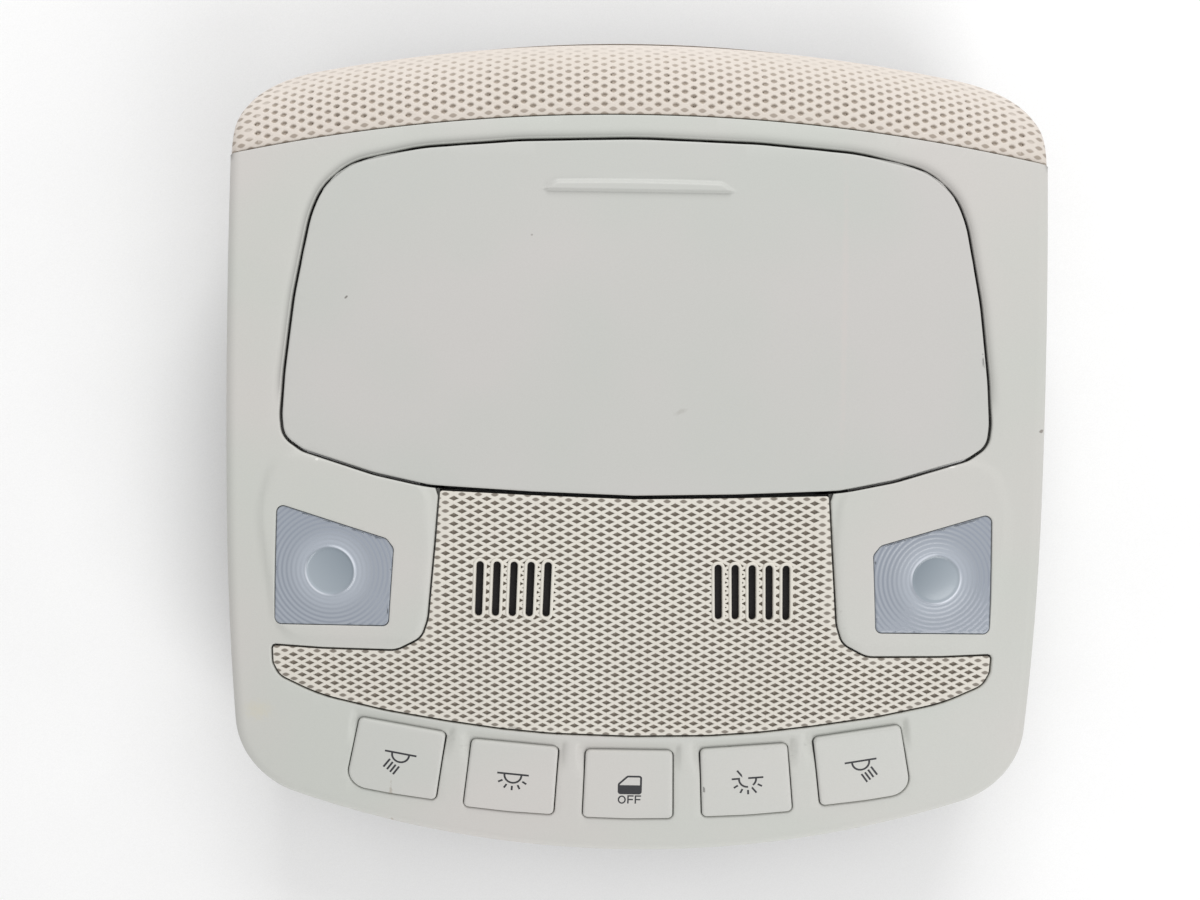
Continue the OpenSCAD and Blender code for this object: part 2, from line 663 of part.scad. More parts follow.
// Map lamps: lens with a round dome, reflector, bulb and holder on one axis square to the face.
lamp_y = fore_y - 37.9;
reflector_h = 22;
reflector_r = 12.3;
ripple = 1.35;
holder_d = 17;
bulb_d = 9;
module lens(s) {
    color("lightsteelblue") mirror([s < 0 ? 1 : 0, 0, 0]) difference() {
        union() {
            intersection() { slab(0, lens_t); plan_cut() lens_outline(0); }
            intersection() {
                on_face(lamp_x, lamp_y) translate([0, 0, -dome_d]) sphere(d = 2.2 * dome_d);
                on_face(lamp_x, lamp_y, lens_t - 0.3) cylinder(8, d = dome_d);
                slab(-1.4, lens_t);
            }
        }
        for (i = [0 : 2]) on_face(lamp_x, lamp_y) rotate_extrude()
            translate([dome_d / 2 + 2.4 + 3 * i, 0]) circle(0.35, $fn = 12);
    }
}
module lens_left() { lens(-1); }
module lens_right() { lens(1); }
module reflector(s) {
    color("whitesmoke") on_face(s * lamp_x, lamp_y, lens_t + 0.4 + reflector_h) difference() {
        union() {
            cylinder(reflector_h, r1 = 10, r2 = reflector_r);
            cylinder(2, r = 11.5);
        }
        translate([0, 0, 2]) cylinder(reflector_h, r1 = 9, r2 = reflector_r - 1);
        translate([0, 0, -1]) cylinder(4, d = holder_d - 2);
    }
}
module reflector_left() { reflector(-1); }
module reflector_right() { reflector(1); }
module bulb(s) {
    color("white") on_face(s * lamp_x, lamp_y, lens_t + 0.4 + reflector_h - 2) {
        cylinder(9, d = bulb_d);
        translate([0, 0, 9]) sphere(d = bulb_d);
    }
}
module bulb_left() { bulb(-1); }
module bulb_right() { bulb(1); }
module bulb_holder(s) {
    color("black") on_face(s * lamp_x, lamp_y, lens_t + 0.4 + reflector_h + 6) {
        difference() {
            union() {
                cylinder(5.95, d = holder_d + 2);
                cylinder(7.6, d = holder_d - 2.2);
            }
            translate([0, 0, -1]) cylinder(4, d = 7);
        }
    }
}
module bulb_holder_left() { bulb_holder(-1); }
module bulb_holder_right() { bulb_holder(1); }

// Buttons with a skirt and a stem that stops just above its switch.
board_w = -13;
board_t = 1.6;
switch_h = 3;
key_rise = 0.5;
skirt = 6;
switch_top = board_w + board_t + switch_h;
module key(k) {
    color("gainsboro") at_key(k) difference() {
        union() {
            translate([0, 0, -skirt]) linear_extrude(skirt + key_rise - 0.5) key_shape(k, 0);
            translate([0, 0, -0.01]) linear_extrude(key_rise + 0.01) key_shape(k, -0.5);
        }
        translate([0, 0, -skirt - 1]) linear_extrude(skirt - 1) key_shape(k, -1.6);
    }
    color("gainsboro") at_key(k) translate([0, 0, switch_top + key_travel + 0.15])
        cylinder(-2 - switch_top - key_travel - 0.15 + 0.1, d = 4.5);
}
module button_1() { key(-2); }
module button_2() { key(-1); }
module button_3() { key(0); }
module button_4() { key(1); }
module button_5() { key(2); }
module tact_switches() {
    color("black") for (k = [-2 : 2]) at_key(k) translate([0, 0, board_w + board_t]) {
        translate([-3, -3, 0]) cube([6, 6, 2]);
        translate([0, 0, 1.9]) cylinder(switch_h - 1.9, d = 3.4);
    }
}
housing_hw = 96;
housing_l = 41.5;
module key_layer(low, high, inset) {
    intersection() {
        in_key_frame() translate([-half_w, -40, low]) cube([body_w, 80, high - low]);
        plan_cut() intersection() {
            polygon(outline(inset));
            translate([-housing_hw, -half_l]) square([2 * housing_hw, housing_l]);
        }
    }
}
module circuit_board() {
    color("green") intersection() {
        key_layer(board_w, board_w + board_t, wall + 4.4);
        translate([2.2 - housing_hw, -half_l, 0])
            cube([2 * housing_hw - 4.4, housing_l - 3.4, top_z]);
    }
}
housing_low = -21;
housing_top = -9.2;
plug_w = 20;
plug_d = 11;
plug_h = 8.4;
plug_u = -30;
module switch_housing() {
    color("black") difference() {
        union() {
            key_layer(housing_low, housing_top, wall + 1.2);
            intersection() {
                key_layer(housing_low, -wall - 0.3, wall + 1.2);
                for (s = [-1, 1]) translate([s * (housing_hw - 1) - 1, -half_l, 0])
                    cube([2, housing_l - 5.5, top_z]);
            }
        }
        intersection() {
            key_layer(housing_low + 2, 0, wall + 3.2);
            translate([2 - housing_hw, -half_l, 0])
                cube([2 * housing_hw - 4, housing_l - 2, top_z]);
        }
        in_key_frame() translate([plug_u - plug_w / 2 - 0.4, -plug_d / 2 - 0.4, housing_low - 1])
            cube([plug_w + 0.8, plug_d + 0.8, 6]);
    }
    color("black") intersection() {
        key_layer(housing_low + 1.9, board_w - 0.02, wall + 3);
        for (x = [-80, -16, 18, 80]) translate([x - 1, -half_l, 0])
            cube([2, housing_l - 1, top_z]);
    }
}
module plug_header() {
    color("white") in_key_frame() translate([plug_u - plug_w / 2, -plug_d / 2, board_w - 0.02 - plug_h])
        difference() {
            cube([plug_w, plug_d, plug_h]);
            translate([1.2, 1.2, -1]) cube([plug_w - 2.4, plug_d - 2.4, plug_h]);
        }
}
module housing_screws() {
    color("silver") for (s = [-1, 1], y = post_y) translate([s * post_x, y, plate_z - 2.2]) {
        cylinder(2.2, d = 6);
        cylinder(2.2 + plate_t - 0.05, d = 3.2);
    }
}
clip_t = 0.6;
module roof_clips() {
    color("darkgray") for (s = [-1, 1], y = clip_y) translate([s * (rib_x + rib_t / 2), y + 4, 3 - clip_t])
        rotate([90, 0, 0]) linear_extrude(8) clip_2d();
}
module clip_2d() {
    w = rib_t / 2 + 0.05;
    difference() {
        polygon([[-w - clip_t, 0], [w + clip_t, 0], [w + clip_t, 4], [w + 2.6, 9], [w + clip_t, 15],
            [-w - clip_t, 15], [-w - 2.6, 9], [-w - clip_t, 4]]);
        polygon([[-w, clip_t], [w, clip_t], [w, 4.2], [w + 2, 9], [w, 15.1],
            [-w, 15.1], [-w - 2, 9], [-w, 4.2]]);
    }
}

bezel();
rear_band();
mic_grille();
carrier_frame();
door_panel();
glasses_bin();
bin_liner();
striker_plate();
hinge_pin_left();
hinge_pin_right();
damper_body();
damper_gear();
door_bumpers();
latch_housing();
latch_plunger();
latch_spring();
lens_left();
lens_right();
reflector_left();
reflector_right();
bulb_left();
bulb_right();
bulb_holder_left();
bulb_holder_right();
button_1();
button_2();
button_3();
button_4();
button_5();
tact_switches();
circuit_board();
plug_header();
switch_housing();
housing_screws();
microphone_left();
microphone_right();
roof_clips();
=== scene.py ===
import math

import bmesh
import bpy
from mathutils import Matrix, Vector
from mathutils.geometry import delaunay_2d_cdt


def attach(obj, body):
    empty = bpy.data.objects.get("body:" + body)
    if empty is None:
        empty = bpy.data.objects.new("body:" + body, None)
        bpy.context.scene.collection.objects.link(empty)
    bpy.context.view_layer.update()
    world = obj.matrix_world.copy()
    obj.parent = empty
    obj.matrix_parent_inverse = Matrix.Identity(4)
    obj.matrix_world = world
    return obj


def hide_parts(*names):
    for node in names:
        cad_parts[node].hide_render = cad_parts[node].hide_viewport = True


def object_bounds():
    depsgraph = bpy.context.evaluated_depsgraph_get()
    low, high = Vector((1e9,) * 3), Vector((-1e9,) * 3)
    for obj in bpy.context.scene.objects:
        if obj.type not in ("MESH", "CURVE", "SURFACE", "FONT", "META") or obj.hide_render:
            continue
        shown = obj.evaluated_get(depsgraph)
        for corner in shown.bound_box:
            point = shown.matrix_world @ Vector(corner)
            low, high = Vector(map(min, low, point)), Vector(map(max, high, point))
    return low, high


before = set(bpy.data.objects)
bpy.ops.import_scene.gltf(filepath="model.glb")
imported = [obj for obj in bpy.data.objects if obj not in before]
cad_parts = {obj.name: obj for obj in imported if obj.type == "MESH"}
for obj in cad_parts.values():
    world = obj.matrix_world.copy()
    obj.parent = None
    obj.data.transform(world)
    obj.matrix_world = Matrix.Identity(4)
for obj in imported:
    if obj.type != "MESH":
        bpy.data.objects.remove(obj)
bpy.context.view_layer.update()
mm = 0.001

# The console, in millimetres: the same driving sizes as its solids.
console = {"width": 240.0, "length": 256.0, "rim": 25.0, "crown": 38.0, "wall": 2.5, "edge": 3.5,
           "corner": 26.0, "frontRadius": 290.0, "rearRadius": 450.0}
face = {"flatRadius": 700.0, "noseRadius": 300.0, "crownY": 41.0, "bendY": -15.0}
band = {"reach": 31.0, "lineRadius": 545.0}
halfWidth = console["width"] / 2
halfLength = console["length"] / 2
topZ = console["rim"] + console["crown"]
bendAngle = math.asin((face["crownY"] - face["bendY"]) / face["flatRadius"])
bendZ = topZ - face["flatRadius"] * (1 - math.cos(bendAngle))


def noseAngle(y):
    return math.asin(min(0.95, math.sin(bendAngle) + (face["bendY"] - y) / face["noseRadius"]))


def faceHeight(y):
    if y > face["bendY"]:
        return topZ - face["flatRadius"] + math.sqrt(face["flatRadius"] ** 2 - (y - face["crownY"]) ** 2)
    return bendZ - face["noseRadius"] * (math.cos(bendAngle) - math.cos(noseAngle(y)))


def faceTilt(y):
    return math.asin((face["crownY"] - y) / face["flatRadius"]) if y > face["bendY"] else noseAngle(y)


lineY = halfLength - band["reach"]
lineZ = faceHeight(lineY)
rollSlope = -math.tan(faceTilt(lineY))
rollDrop = lineZ - console["rim"] - rollSlope * band["reach"]


def beyondLine(x, y):
    return math.hypot(x, y - lineY + band["lineRadius"]) - band["lineRadius"]


def skinHeight(x, y):
    reach = beyondLine(x, y)
    if reach <= 0:
        return faceHeight(y)
    return max(console["rim"], lineZ - rollSlope * reach - rollDrop * (reach / band["reach"]) ** 2)


def smoothStep(low, high, value):
    t = min(1.0, max(0.0, (value - low) / (high - low)))
    return t * t * (3 - 2 * t)


# Outlines in plan are closed loops that run counter-clockwise.
def arc(cx, cy, radius, start, end, count):
    turns = [math.radians(start + (end - start) * i / count) for i in range(count + 1)]
    return [(cx + radius * math.cos(a), cy + radius * math.sin(a)) for a in turns]


def evenly(points, step):
    ends = points + points[:1]
    out = []
    for a, b in zip(ends, ends[1:]):
        count = max(1, round(math.dist(a, b) / step)) if math.dist(a, b) > 1e-6 else 0
        out += [(a[0] + (b[0] - a[0]) * i / count, a[1] + (b[1] - a[1]) * i / count) for i in range(count)]
    return out


def roundCorners(corners, radius, step=1.2):
    out = []
    for i, corner in enumerate(corners):
        p, a, b = Vector(corner[:2]), Vector(corners[i - 1][:2]), Vector(corners[(i + 1) % len(corners)][:2])
        toA, toB = (a - p).normalized(), (b - p).normalized()
        half = toA.angle(toB) / 2
        bend = corner[2] if len(corner) > 2 else radius
        reach = min(bend / math.tan(half), 0.45 * (a - p).length, 0.45 * (b - p).length) if half < 1.56 else 0
        if reach < 0.02:
            out.append(tuple(p))
            continue
        bend = reach * math.tan(half)
        middle = p + (toA + toB).normalized() * (bend / math.sin(half))
        first, last = p + toA * reach - middle, p + toB * reach - middle
        turn = first.angle_signed(last) * -1
        count = max(2, round(abs(turn) * bend / (step * 0.6)))
        out += [tuple(middle + Matrix.Rotation(turn * k / count, 2) @ first) for k in range(count + 1)]
    return evenly(out, step)


def shifted(points, inset):
    count = len(points)
    out = []
    for i, (x, y) in enumerate(points):
        ax, ay = points[i - 1]
        bx, by = points[(i + 1) % count]
        before = Vector((y - ay, ax - x)).normalized()
        after = Vector((by - y, x - bx)).normalized()
        normal = -(before + after).normalized()
        depth = inset(i) if callable(inset) else inset
        depth /= max(0.5, -normal.dot(before))
        out.append((x + normal.x * depth, y + normal.y * depth))
    return out


def mirrored(half):
    return half + [(-p[0],) + tuple(p[1:]) for p in reversed(half) if abs(p[0]) > 0.01]


def inPolygon(x, y, points):
    hit = False
    for (ax, ay), (bx, by) in zip(points, points[1:] + points[:1]):
        if (ay > y) != (by > y) and x < ax + (y - ay) / (by - ay) * (bx - ax):
            hit = not hit
    return hit


def toLoop(x, y, points):
    best = 1e9
    for (ax, ay), (bx, by) in zip(points, points[1:] + points[:1]):
        dx, dy = bx - ax, by - ay
        t = max(0.0, min(1.0, ((x - ax) * dx + (y - ay) * dy) / max(1e-9, dx * dx + dy * dy)))
        best = min(best, math.hypot(x - ax - t * dx, y - ay - t * dy))
    return best


cornerX = halfWidth - console["corner"]
frontIn = console["frontRadius"] - console["corner"]
rearIn = console["rearRadius"] - console["corner"]
frontY = -halfLength + console["frontRadius"] - math.sqrt(frontIn ** 2 - cornerX ** 2)
rearY = halfLength - console["rearRadius"] + math.sqrt(rearIn ** 2 - cornerX ** 2)
frontSweep = math.degrees(math.asin(cornerX / frontIn))
rearSweep = math.degrees(math.asin(cornerX / rearIn))
bodyLoop = evenly(
    arc(0, -halfLength + console["frontRadius"], console["frontRadius"], -90 - frontSweep, -90 + frontSweep, 90)
    + arc(cornerX, frontY, console["corner"], -90 + frontSweep, 0, 18)
    + arc(cornerX, rearY, console["corner"], 0, 90 - rearSweep, 18)
    + arc(0, halfLength - console["rearRadius"], console["rearRadius"], 90 - rearSweep, 90 + rearSweep, 90)
    + arc(-cornerX, rearY, console["corner"], 90 + rearSweep, 180, 18)
    + arc(-cornerX, frontY, console["corner"], 180, 270 - frontSweep, 18), 2.5)

door = {"thick": 1.3, "gap": 0.9, "roll": 0.6, "ridgeY": 76.0, "ridgeLength": 56.0,
        "ridgeWidth": 3.5, "ridgeHeight": 0.9}
doorHalf = [(0, -14.5), (30, -13.7, 60), (60, -12.2, 60), (76, -8.8, 40), (97, -2.2, 8), (102.4, 1.6, 8),
            (103, 7.5, 20), (102.2, 20, 80), (99.6, 42.5, 80), (95.3, 66, 40), (92, 74, 20), (84, 81.2, 20),
            (64, 86, 60), (35, 88.5, 90), (0, 89.6, 200)]
doorLoop = roundCorners(mirrored(doorHalf), 6)

lamp = {"x": 89.0, "y": -37.9, "dome": 7.1, "ripple": 1.35, "thick": 2.2}
lensLoop = roundCorners([(72.5, -28.2), (70.4, -31), (72.2, -54.3), (105.8, -54.1), (104.4, -18.3)], 1.9, 0.8)

bandCell = {"halfX": 2.6, "halfY": 1.5, "middle": 1.6, "rows": 25.5}
grille = {"halfCellX": 2.4, "middle": -52.3, "halfCellY": 1.25, "margin": 0.55, "slotX": 35.25, "slotY": -42.7,
          "slotPitch": 5.0, "slotWidth": 2.2, "slotLength": 16.5, "lean": 2.0, "rim": 0.9, "rimHeight": 0.4}
grilleHalf = [(0, -88), (24, -87.4, 90), (39, -86.1, 90), (55.4, -83.8, 90), (73.6, -80.7, 90),
              (93.6, -75.9, 60), (105.2, -70.1, 6), (107, -66.1, 3), (107, -60.6, 1), (92, -61.5, 40),
              (70, -61.9, 8), (62.4, -57.9, 6), (60.4, -52, 14), (58.3, -30, 60), (57, -13.6, 0.8),
              (30, -14.6, 60), (0, -15.4, 60)]
grilleLoop = roundCorners(mirrored(grilleHalf), 1.2)

keys = {"y": -104.3, "length": 24.5, "width": 27.2, "bow": 318.0, "step": 35.9, "lastStep": 71.0, "turn": 0.84,
        "corner": 1.6, "outerCorner": 9.0, "clear": 0.3, "rise": 0.5, "roll": 0.7}
keyTilt = faceTilt(keys["y"])


def keyPlace(index):
    u = math.copysign([0, keys["step"], keys["lastStep"]][abs(index)], index) if index else 0.0
    v = keys["bow"] - math.sqrt(keys["bow"] ** 2 - u * u)
    return u, v, math.asin(u / keys["bow"]) * keys["turn"]


def keyLoop(index, grow=0.0):
    side = -1 if index < 0 else 1
    top, low, half = keys["width"] / 2 - 0.4, keys["width"] / 2 + 0.4, keys["length"] / 2
    outer = keys["outerCorner"] if abs(index) == 2 else keys["corner"]
    corners = [(-low, -half, keys["corner"]), (0, -half - 0.4, 90), (low, -half, outer),
               (top, half, keys["corner"]), (-top, half, keys["corner"])]
    if side < 0:
        corners = [(-p[0], p[1], p[2]) for p in reversed(corners)]
    u, v, turn = keyPlace(index)
    out = []
    for x, y in shifted(roundCorners(corners, 1.6, 0.9), -grow):
        kx, ky = x * math.cos(turn) - y * math.sin(turn) + u, x * math.sin(turn) + y * math.cos(turn) + v
        out.append((kx, keys["y"] + ky * math.cos(keyTilt)))
    return out


def nearKey(x, y):
    for index in range(-2, 3):
        u, v, turn = keyPlace(index)
        dx, dy = x - u, (y - keys["y"]) / math.cos(keyTilt) - v
        across, along = dx * math.cos(turn) + dy * math.sin(turn), dy * math.cos(turn) - dx * math.sin(turn)
        if abs(across) < keys["width"] / 2 + 1.6 and abs(along) < keys["length"] / 2 + 1.4:
            return True
    return False


def openRun(points, dropped):
    flags = [dropped(x, y) for x, y in points]
    first = next(i for i in range(len(points)) if flags[i - 1] and not flags[i])
    turned = points[first:] + points[:first]
    return [p for p in turned if not dropped(*p)]


def insideRuns(points, loop):
    runs = [[]]
    for p in points:
        if inPolygon(*p, loop):
            runs[-1].append(p)
        elif runs[-1]:
            runs.append([])
    return [run for run in runs if len(run) > 1]


# Modelling helpers: a piece is made flat, x and y in plan and z below the skin, then draped on the face.
def quarterRoll(radius, steps=4, bottom=None):
    turns = [math.pi / 2 * i / steps for i in range(steps + 1)]
    out = [(radius * (1 - math.sin(a)), radius * (1 - math.cos(a))) for a in turns]
    return out + ([(0.0, bottom)] if bottom else [])


def ringOf(bm, points, drop):
    verts = [bm.verts.new((x, y, -drop)) for x, y in points]
    edges = [bm.edges.new((verts[i - 1], verts[i])) for i in range(len(verts))]
    return verts, edges


def skirt(bm, points, profile, side=1):
    verts, edges = ringOf(bm, shifted(points, side * profile[0][0]), profile[0][1])
    top = edges
    for inset, drop in profile[1:]:
        made = bmesh.ops.extrude_edge_only(bm, edges=edges)["geom"]
        fresh = {v for v in made if isinstance(v, bmesh.types.BMVert)}
        verts = [next(e.other_vert(v) for e in v.link_edges if e.other_vert(v) in fresh) for v in verts]
        edges = [e for e in made if isinstance(e, bmesh.types.BMEdge) and all(v in fresh for v in e.verts)]
        for vert, (x, y) in zip(verts, shifted(points, side * inset)):
            vert.co = (x, y, -drop)
    return top, edges


def fillFlat(bm, edges, up=1, guides=()):
    verts = list({v for e in edges for v in e.verts})
    place = {v: i for i, v in enumerate(verts)}
    pairs = [(place[e.verts[0]], place[e.verts[1]]) for e in edges]
    walls = [(verts[a].co.xy, verts[b].co.xy) for a, b in pairs]
    for guide in guides:
        start = len(verts)
        verts += [bm.verts.new((x, y, 0)) for x, y in guide]
        pairs += [(i, i + 1) for i in range(start, len(verts) - 1)]
    found = delaunay_2d_cdt([v.co.xy for v in verts], pairs, [], 0, 1e-6)
    corner = [verts[old[0]] if old else bm.verts.new((*found[0][i], 0)) for i, old in enumerate(found[3])]
    rows = {}
    for a, b in walls:
        for row in range(math.floor(min(a.y, b.y)), math.floor(max(a.y, b.y)) + 1):
            rows.setdefault(row, []).append((a, b))
    for corners in found[2]:
        ring = [corner[i] for i in corners]
        x, y = sum((v.co.xy for v in ring), Vector((0, 0))) / 3
        near = [(a, b) for a, b in rows.get(math.floor(y), []) if (a.y > y) != (b.y > y)]
        hits = sum(x < a.x + (y - a.y) / (b.y - a.y) * (b.x - a.x) for a, b in near)
        if hits % 2 and len(set(ring)) == 3:
            bm.faces.new(ring if up > 0 else ring[::-1])


def cutAcross(bm, faces, place, normal, dist=1e-4, clear=False):
    geom = list({v for f in faces for v in f.verts}) + list({e for f in faces for e in f.edges}) + faces
    bmesh.ops.bisect_plane(bm, geom=geom, dist=dist, plane_co=place, plane_no=normal, clear_outer=clear)


def cutGrid(bm, axis, low, high, step, keep=None):
    normal = [0, 0, 0]
    normal[axis] = 1
    for i in range(int((high - low) / step) + 1):
        point = [0, 0, 0]
        point[axis] = low + step * i
        cutAcross(bm, [f for f in bm.faces if keep is None or keep(f)], point, normal, 0.05)


def faceOut(bm):
    bmesh.ops.recalc_face_normals(bm, faces=bm.faces)
    if sum(f.normal.z * f.calc_area() for f in bm.faces if f.calc_center_median().z > -0.01) < 0:
        bmesh.ops.reverse_faces(bm, faces=bm.faces)


# Walls that the keys slide along lean with the keys, where leaning(x, y) says so.
def drape(bm, relief=None, leaning=None):
    faceOut(bm)
    for v in bm.verts:
        x, y, z = v.co
        if z < -500:
            v.co = (x, y, console["rim"])
            continue
        lift = relief(x, y) if relief else 0.0
        shift = -z * math.tan(keyTilt) if z < 0 and leaning and leaning(x, y) else 0.0
        v.co = (x, y + shift, skinHeight(x, y) + z + lift)


def join(bm, other):
    mesh = bpy.data.meshes.new("joined")
    other.to_mesh(mesh)
    other.free()
    bm.from_mesh(mesh)
    bpy.data.meshes.remove(mesh)


# The hidden side is the node's own, from a depth below the skin down.
def underPart(bm, node, depth, keep=None):
    low = bmesh.new()
    low.from_mesh(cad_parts[node].data)
    bmesh.ops.scale(low, vec=(1 / mm,) * 3, verts=low.verts)
    for v in low.verts:
        v.co.z -= skinHeight(v.co.x, v.co.y)
    cutAcross(low, list(low.faces), (0, 0, -depth), (0, 0, 1), 1e-5, True)
    if keep:
        low.normal_update()
        bmesh.ops.delete(low, geom=[f for f in low.faces if not keep(f)], context="FACES")
    # The hidden side carries the painted shade attribute at zero: no painted shade there.
    low.verts.layers.float.new("paintedShade")
    for v in low.verts:
        v.co.z += skinHeight(v.co.x, v.co.y)
    join(bm, low)


def piece(name, bm, material, body, node=None, smooth=40, extra=()):
    bmesh.ops.remove_doubles(bm, verts=bm.verts, dist=0.0008)
    bmesh.ops.dissolve_degenerate(bm, edges=bm.edges, dist=0.012)
    bmesh.ops.scale(bm, vec=(mm,) * 3, verts=bm.verts)
    mesh = bpy.data.meshes.new(name)
    bm.to_mesh(mesh)
    bm.free()
    mesh.shade_smooth()
    mesh.set_sharp_from_angle(angle=math.radians(smooth))
    for entry in (material,) + tuple(extra):
        mesh.materials.append(entry)
    made = bpy.data.objects.new(name, mesh)
    bpy.context.scene.collection.objects.link(made)
    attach(made, body)
    if node:
        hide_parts(*([node] if isinstance(node, str) else node))
    print("made", name, len(mesh.polygons), "faces")
    return made


# Materials.
def addNode(tree, kind, inputs=None, **settings):
    node = tree.nodes.new(kind)
    for key, value in settings.items():
        setattr(node, key, value)
    for key, value in (inputs or {}).items():
        if isinstance(value, bpy.types.NodeSocket):
            tree.links.new(value, node.inputs[key])
        else:
            node.inputs[key].default_value = value
    return node


def mixColour(tree, factor, first, second):
    return addNode(tree, "ShaderNodeMix", {0: factor, 6: first, 7: second}, data_type="RGBA").outputs[2]


def calc(tree, operation, first, second=0.0):
    return addNode(tree, "ShaderNodeMath", {0: first, 1: second}, operation=operation).outputs[0]


def length(tree, x, y):
    return calc(tree, "SQRT", calc(tree, "ADD", calc(tree, "MULTIPLY", x, x), calc(tree, "MULTIPLY", y, y)))


def scaled(tree, value, low, high, to=(0.0, 1.0)):
    inputs = {"Value": value, "From Min": low, "From Max": high, "To Min": to[0], "To Max": to[1]}
    return addNode(tree, "ShaderNodeMapRange", inputs).outputs["Result"]


def objectPlace(tree):
    return addNode(tree, "ShaderNodeTexCoord").outputs["Object"]


def noise(tree, place, scale):
    return addNode(tree, "ShaderNodeTexNoise", {"Vector": place, "Scale": scale, "Detail": 2.0}).outputs["Fac"]


def makeGroup(name, inputs, outputs):
    group = bpy.data.node_groups.new(name, "ShaderNodeTree")
    for label, kind, default in inputs:
        socket = group.interface.new_socket(label, in_out="INPUT", socket_type=kind)
        socket.default_value = default
    for label, kind in outputs:
        group.interface.new_socket(label, in_out="OUTPUT", socket_type=kind)
    return group, group.nodes.new("NodeGroupInput"), group.nodes.new("NodeGroupOutput")


def mouldedGroup():
    tree, given, out = makeGroup(
        "mouldedPlastic",
        [("Base", "NodeSocketColor", (0.6, 0.6, 0.6, 1)), ("Tint", "NodeSocketColor", (0.6, 0.6, 0.55, 1)),
         ("Roughness", "NodeSocketFloat", 0.5), ("Grain", "NodeSocketFloat", 0.2)],
        [("Colour", "NodeSocketColor"), ("Roughness", "NodeSocketFloat"), ("Normal", "NodeSocketVector")])
    place = objectPlace(tree)
    drift = noise(tree, place, 16.0)
    fine = noise(tree, place, 2600.0)
    colour = mixColour(tree, scaled(tree, drift, 0.35, 0.65), given.outputs["Base"], given.outputs["Tint"])
    colour = mixColour(tree, scaled(tree, fine, 0.3, 0.7, (0.0, 0.06)), colour, (0.25, 0.24, 0.22, 1))
    rough = calc(tree, "ADD", given.outputs["Roughness"], scaled(tree, fine, 0.3, 0.7, (-0.05, 0.05)))
    bump = addNode(tree, "ShaderNodeBump",
                   {"Strength": given.outputs["Grain"], "Distance": 0.00006, "Height": fine})
    tree.links.new(colour, out.inputs["Colour"])
    tree.links.new(rough, out.inputs["Roughness"])
    tree.links.new(bump.outputs["Normal"], out.inputs["Normal"])
    return tree


def spotGroup():
    tree, given, out = makeGroup(
        "spotMask",
        [("Place", "NodeSocketVector", (0, 0, 0)), ("Turn", "NodeSocketVector", (0, 0, 0)),
         ("Size", "NodeSocketVector", (1, 1, 1)), ("Softness", "NodeSocketFloat", 0.4)],
        [("Mask", "NodeSocketFloat")])
    place = objectPlace(tree)
    inputs = {"Vector": place, "Location": given.outputs["Place"], "Rotation": given.outputs["Turn"],
              "Scale": given.outputs["Size"]}
    near = addNode(tree, "ShaderNodeMapping", inputs, vector_type="TEXTURE").outputs[0]
    reach = addNode(tree, "ShaderNodeVectorMath", {0: near}, operation="LENGTH").outputs["Value"]
    reach = calc(tree, "ADD", reach, scaled(tree, noise(tree, place, 900.0), 0.3, 0.7, (-0.25, 0.25)))
    inner = calc(tree, "SUBTRACT", 1.0, given.outputs["Softness"])
    mask = addNode(tree, "ShaderNodeMapRange", {"Value": reach, "From Min": 1.0, "From Max": inner},
                   interpolation_type="SMOOTHSTEP")
    tree.links.new(mask.outputs["Result"], out.inputs["Mask"])
    return tree


moulded = mouldedGroup()
spotMask = spotGroup()


def toLinear(r, g, b):
    return tuple(((c / 255 + 0.055) / 1.055) ** 2.4 for c in (r, g, b)) + (1.0,)


# A mark: place in plan, half sizes, turn in degrees, colour and strength.
def spot(x, y, halfX, halfY, turn, colour, strength, soft=0.5):
    def apply(tree, under):
        node = addNode(tree, "ShaderNodeGroup", node_tree=spotMask)
        for key, value in {"Place": (x * mm, y * mm, 0.06), "Turn": (0, 0, math.radians(turn)),
                           "Size": (halfX * mm, halfY * mm, 1.0), "Softness": soft}.items():
            node.inputs[key].default_value = value
        return mixColour(tree, calc(tree, "MULTIPLY", node.outputs["Mask"], strength), under, toLinear(*colour))
    return apply


# Painted pits: the shade of the pit lattice carried on as colour to the edge of the piece, where no pits are
# modelled.
def paintedPitLattice(halfX, halfY, middle, colour, radius=0.0, fade=(90.0, 91.0)):
    def apply(tree, under):
        place = addNode(tree, "ShaderNodeSeparateXYZ", {0: objectPlace(tree)}).outputs
        across, along = calc(tree, "MULTIPLY", place[0], 1 / mm), calc(tree, "MULTIPLY", place[1], 1 / mm)
        if radius:
            along = calc(tree, "ADD", along, radius - lineY)
            reach = length(tree, across, along)
            across = calc(tree, "MULTIPLY", calc(tree, "ARCTAN2", across, along), radius)
            along = calc(tree, "SUBTRACT", reach, radius)
        a = calc(tree, "MULTIPLY", across, 0.5 / halfX)
        b = calc(tree, "MULTIPLY", calc(tree, "SUBTRACT", along, middle), 0.5 / halfY)
        offsets = []
        for kind in ("ADD", "SUBTRACT"):
            part = calc(tree, "FRACT", calc(tree, "ADD", calc(tree, kind, a, b), 200.0))
            offsets.append(calc(tree, "POWER", calc(tree, "ABSOLUTE", calc(tree, "SUBTRACT", part, 0.5)), 3.0))
        near = calc(tree, "POWER", calc(tree, "ADD", offsets[0], offsets[1]), 1 / 3)
        mask = calc(tree, "MULTIPLY", scaled(tree, near, 0.34, 0.22), scaled(tree, along, fade[1], fade[0]))
        rim = addNode(tree, "ShaderNodeAttribute", attribute_name="rim").outputs["Fac"]
        return mixColour(tree, calc(tree, "MULTIPLY", mask, rim), under, toLinear(*colour))
    return apply
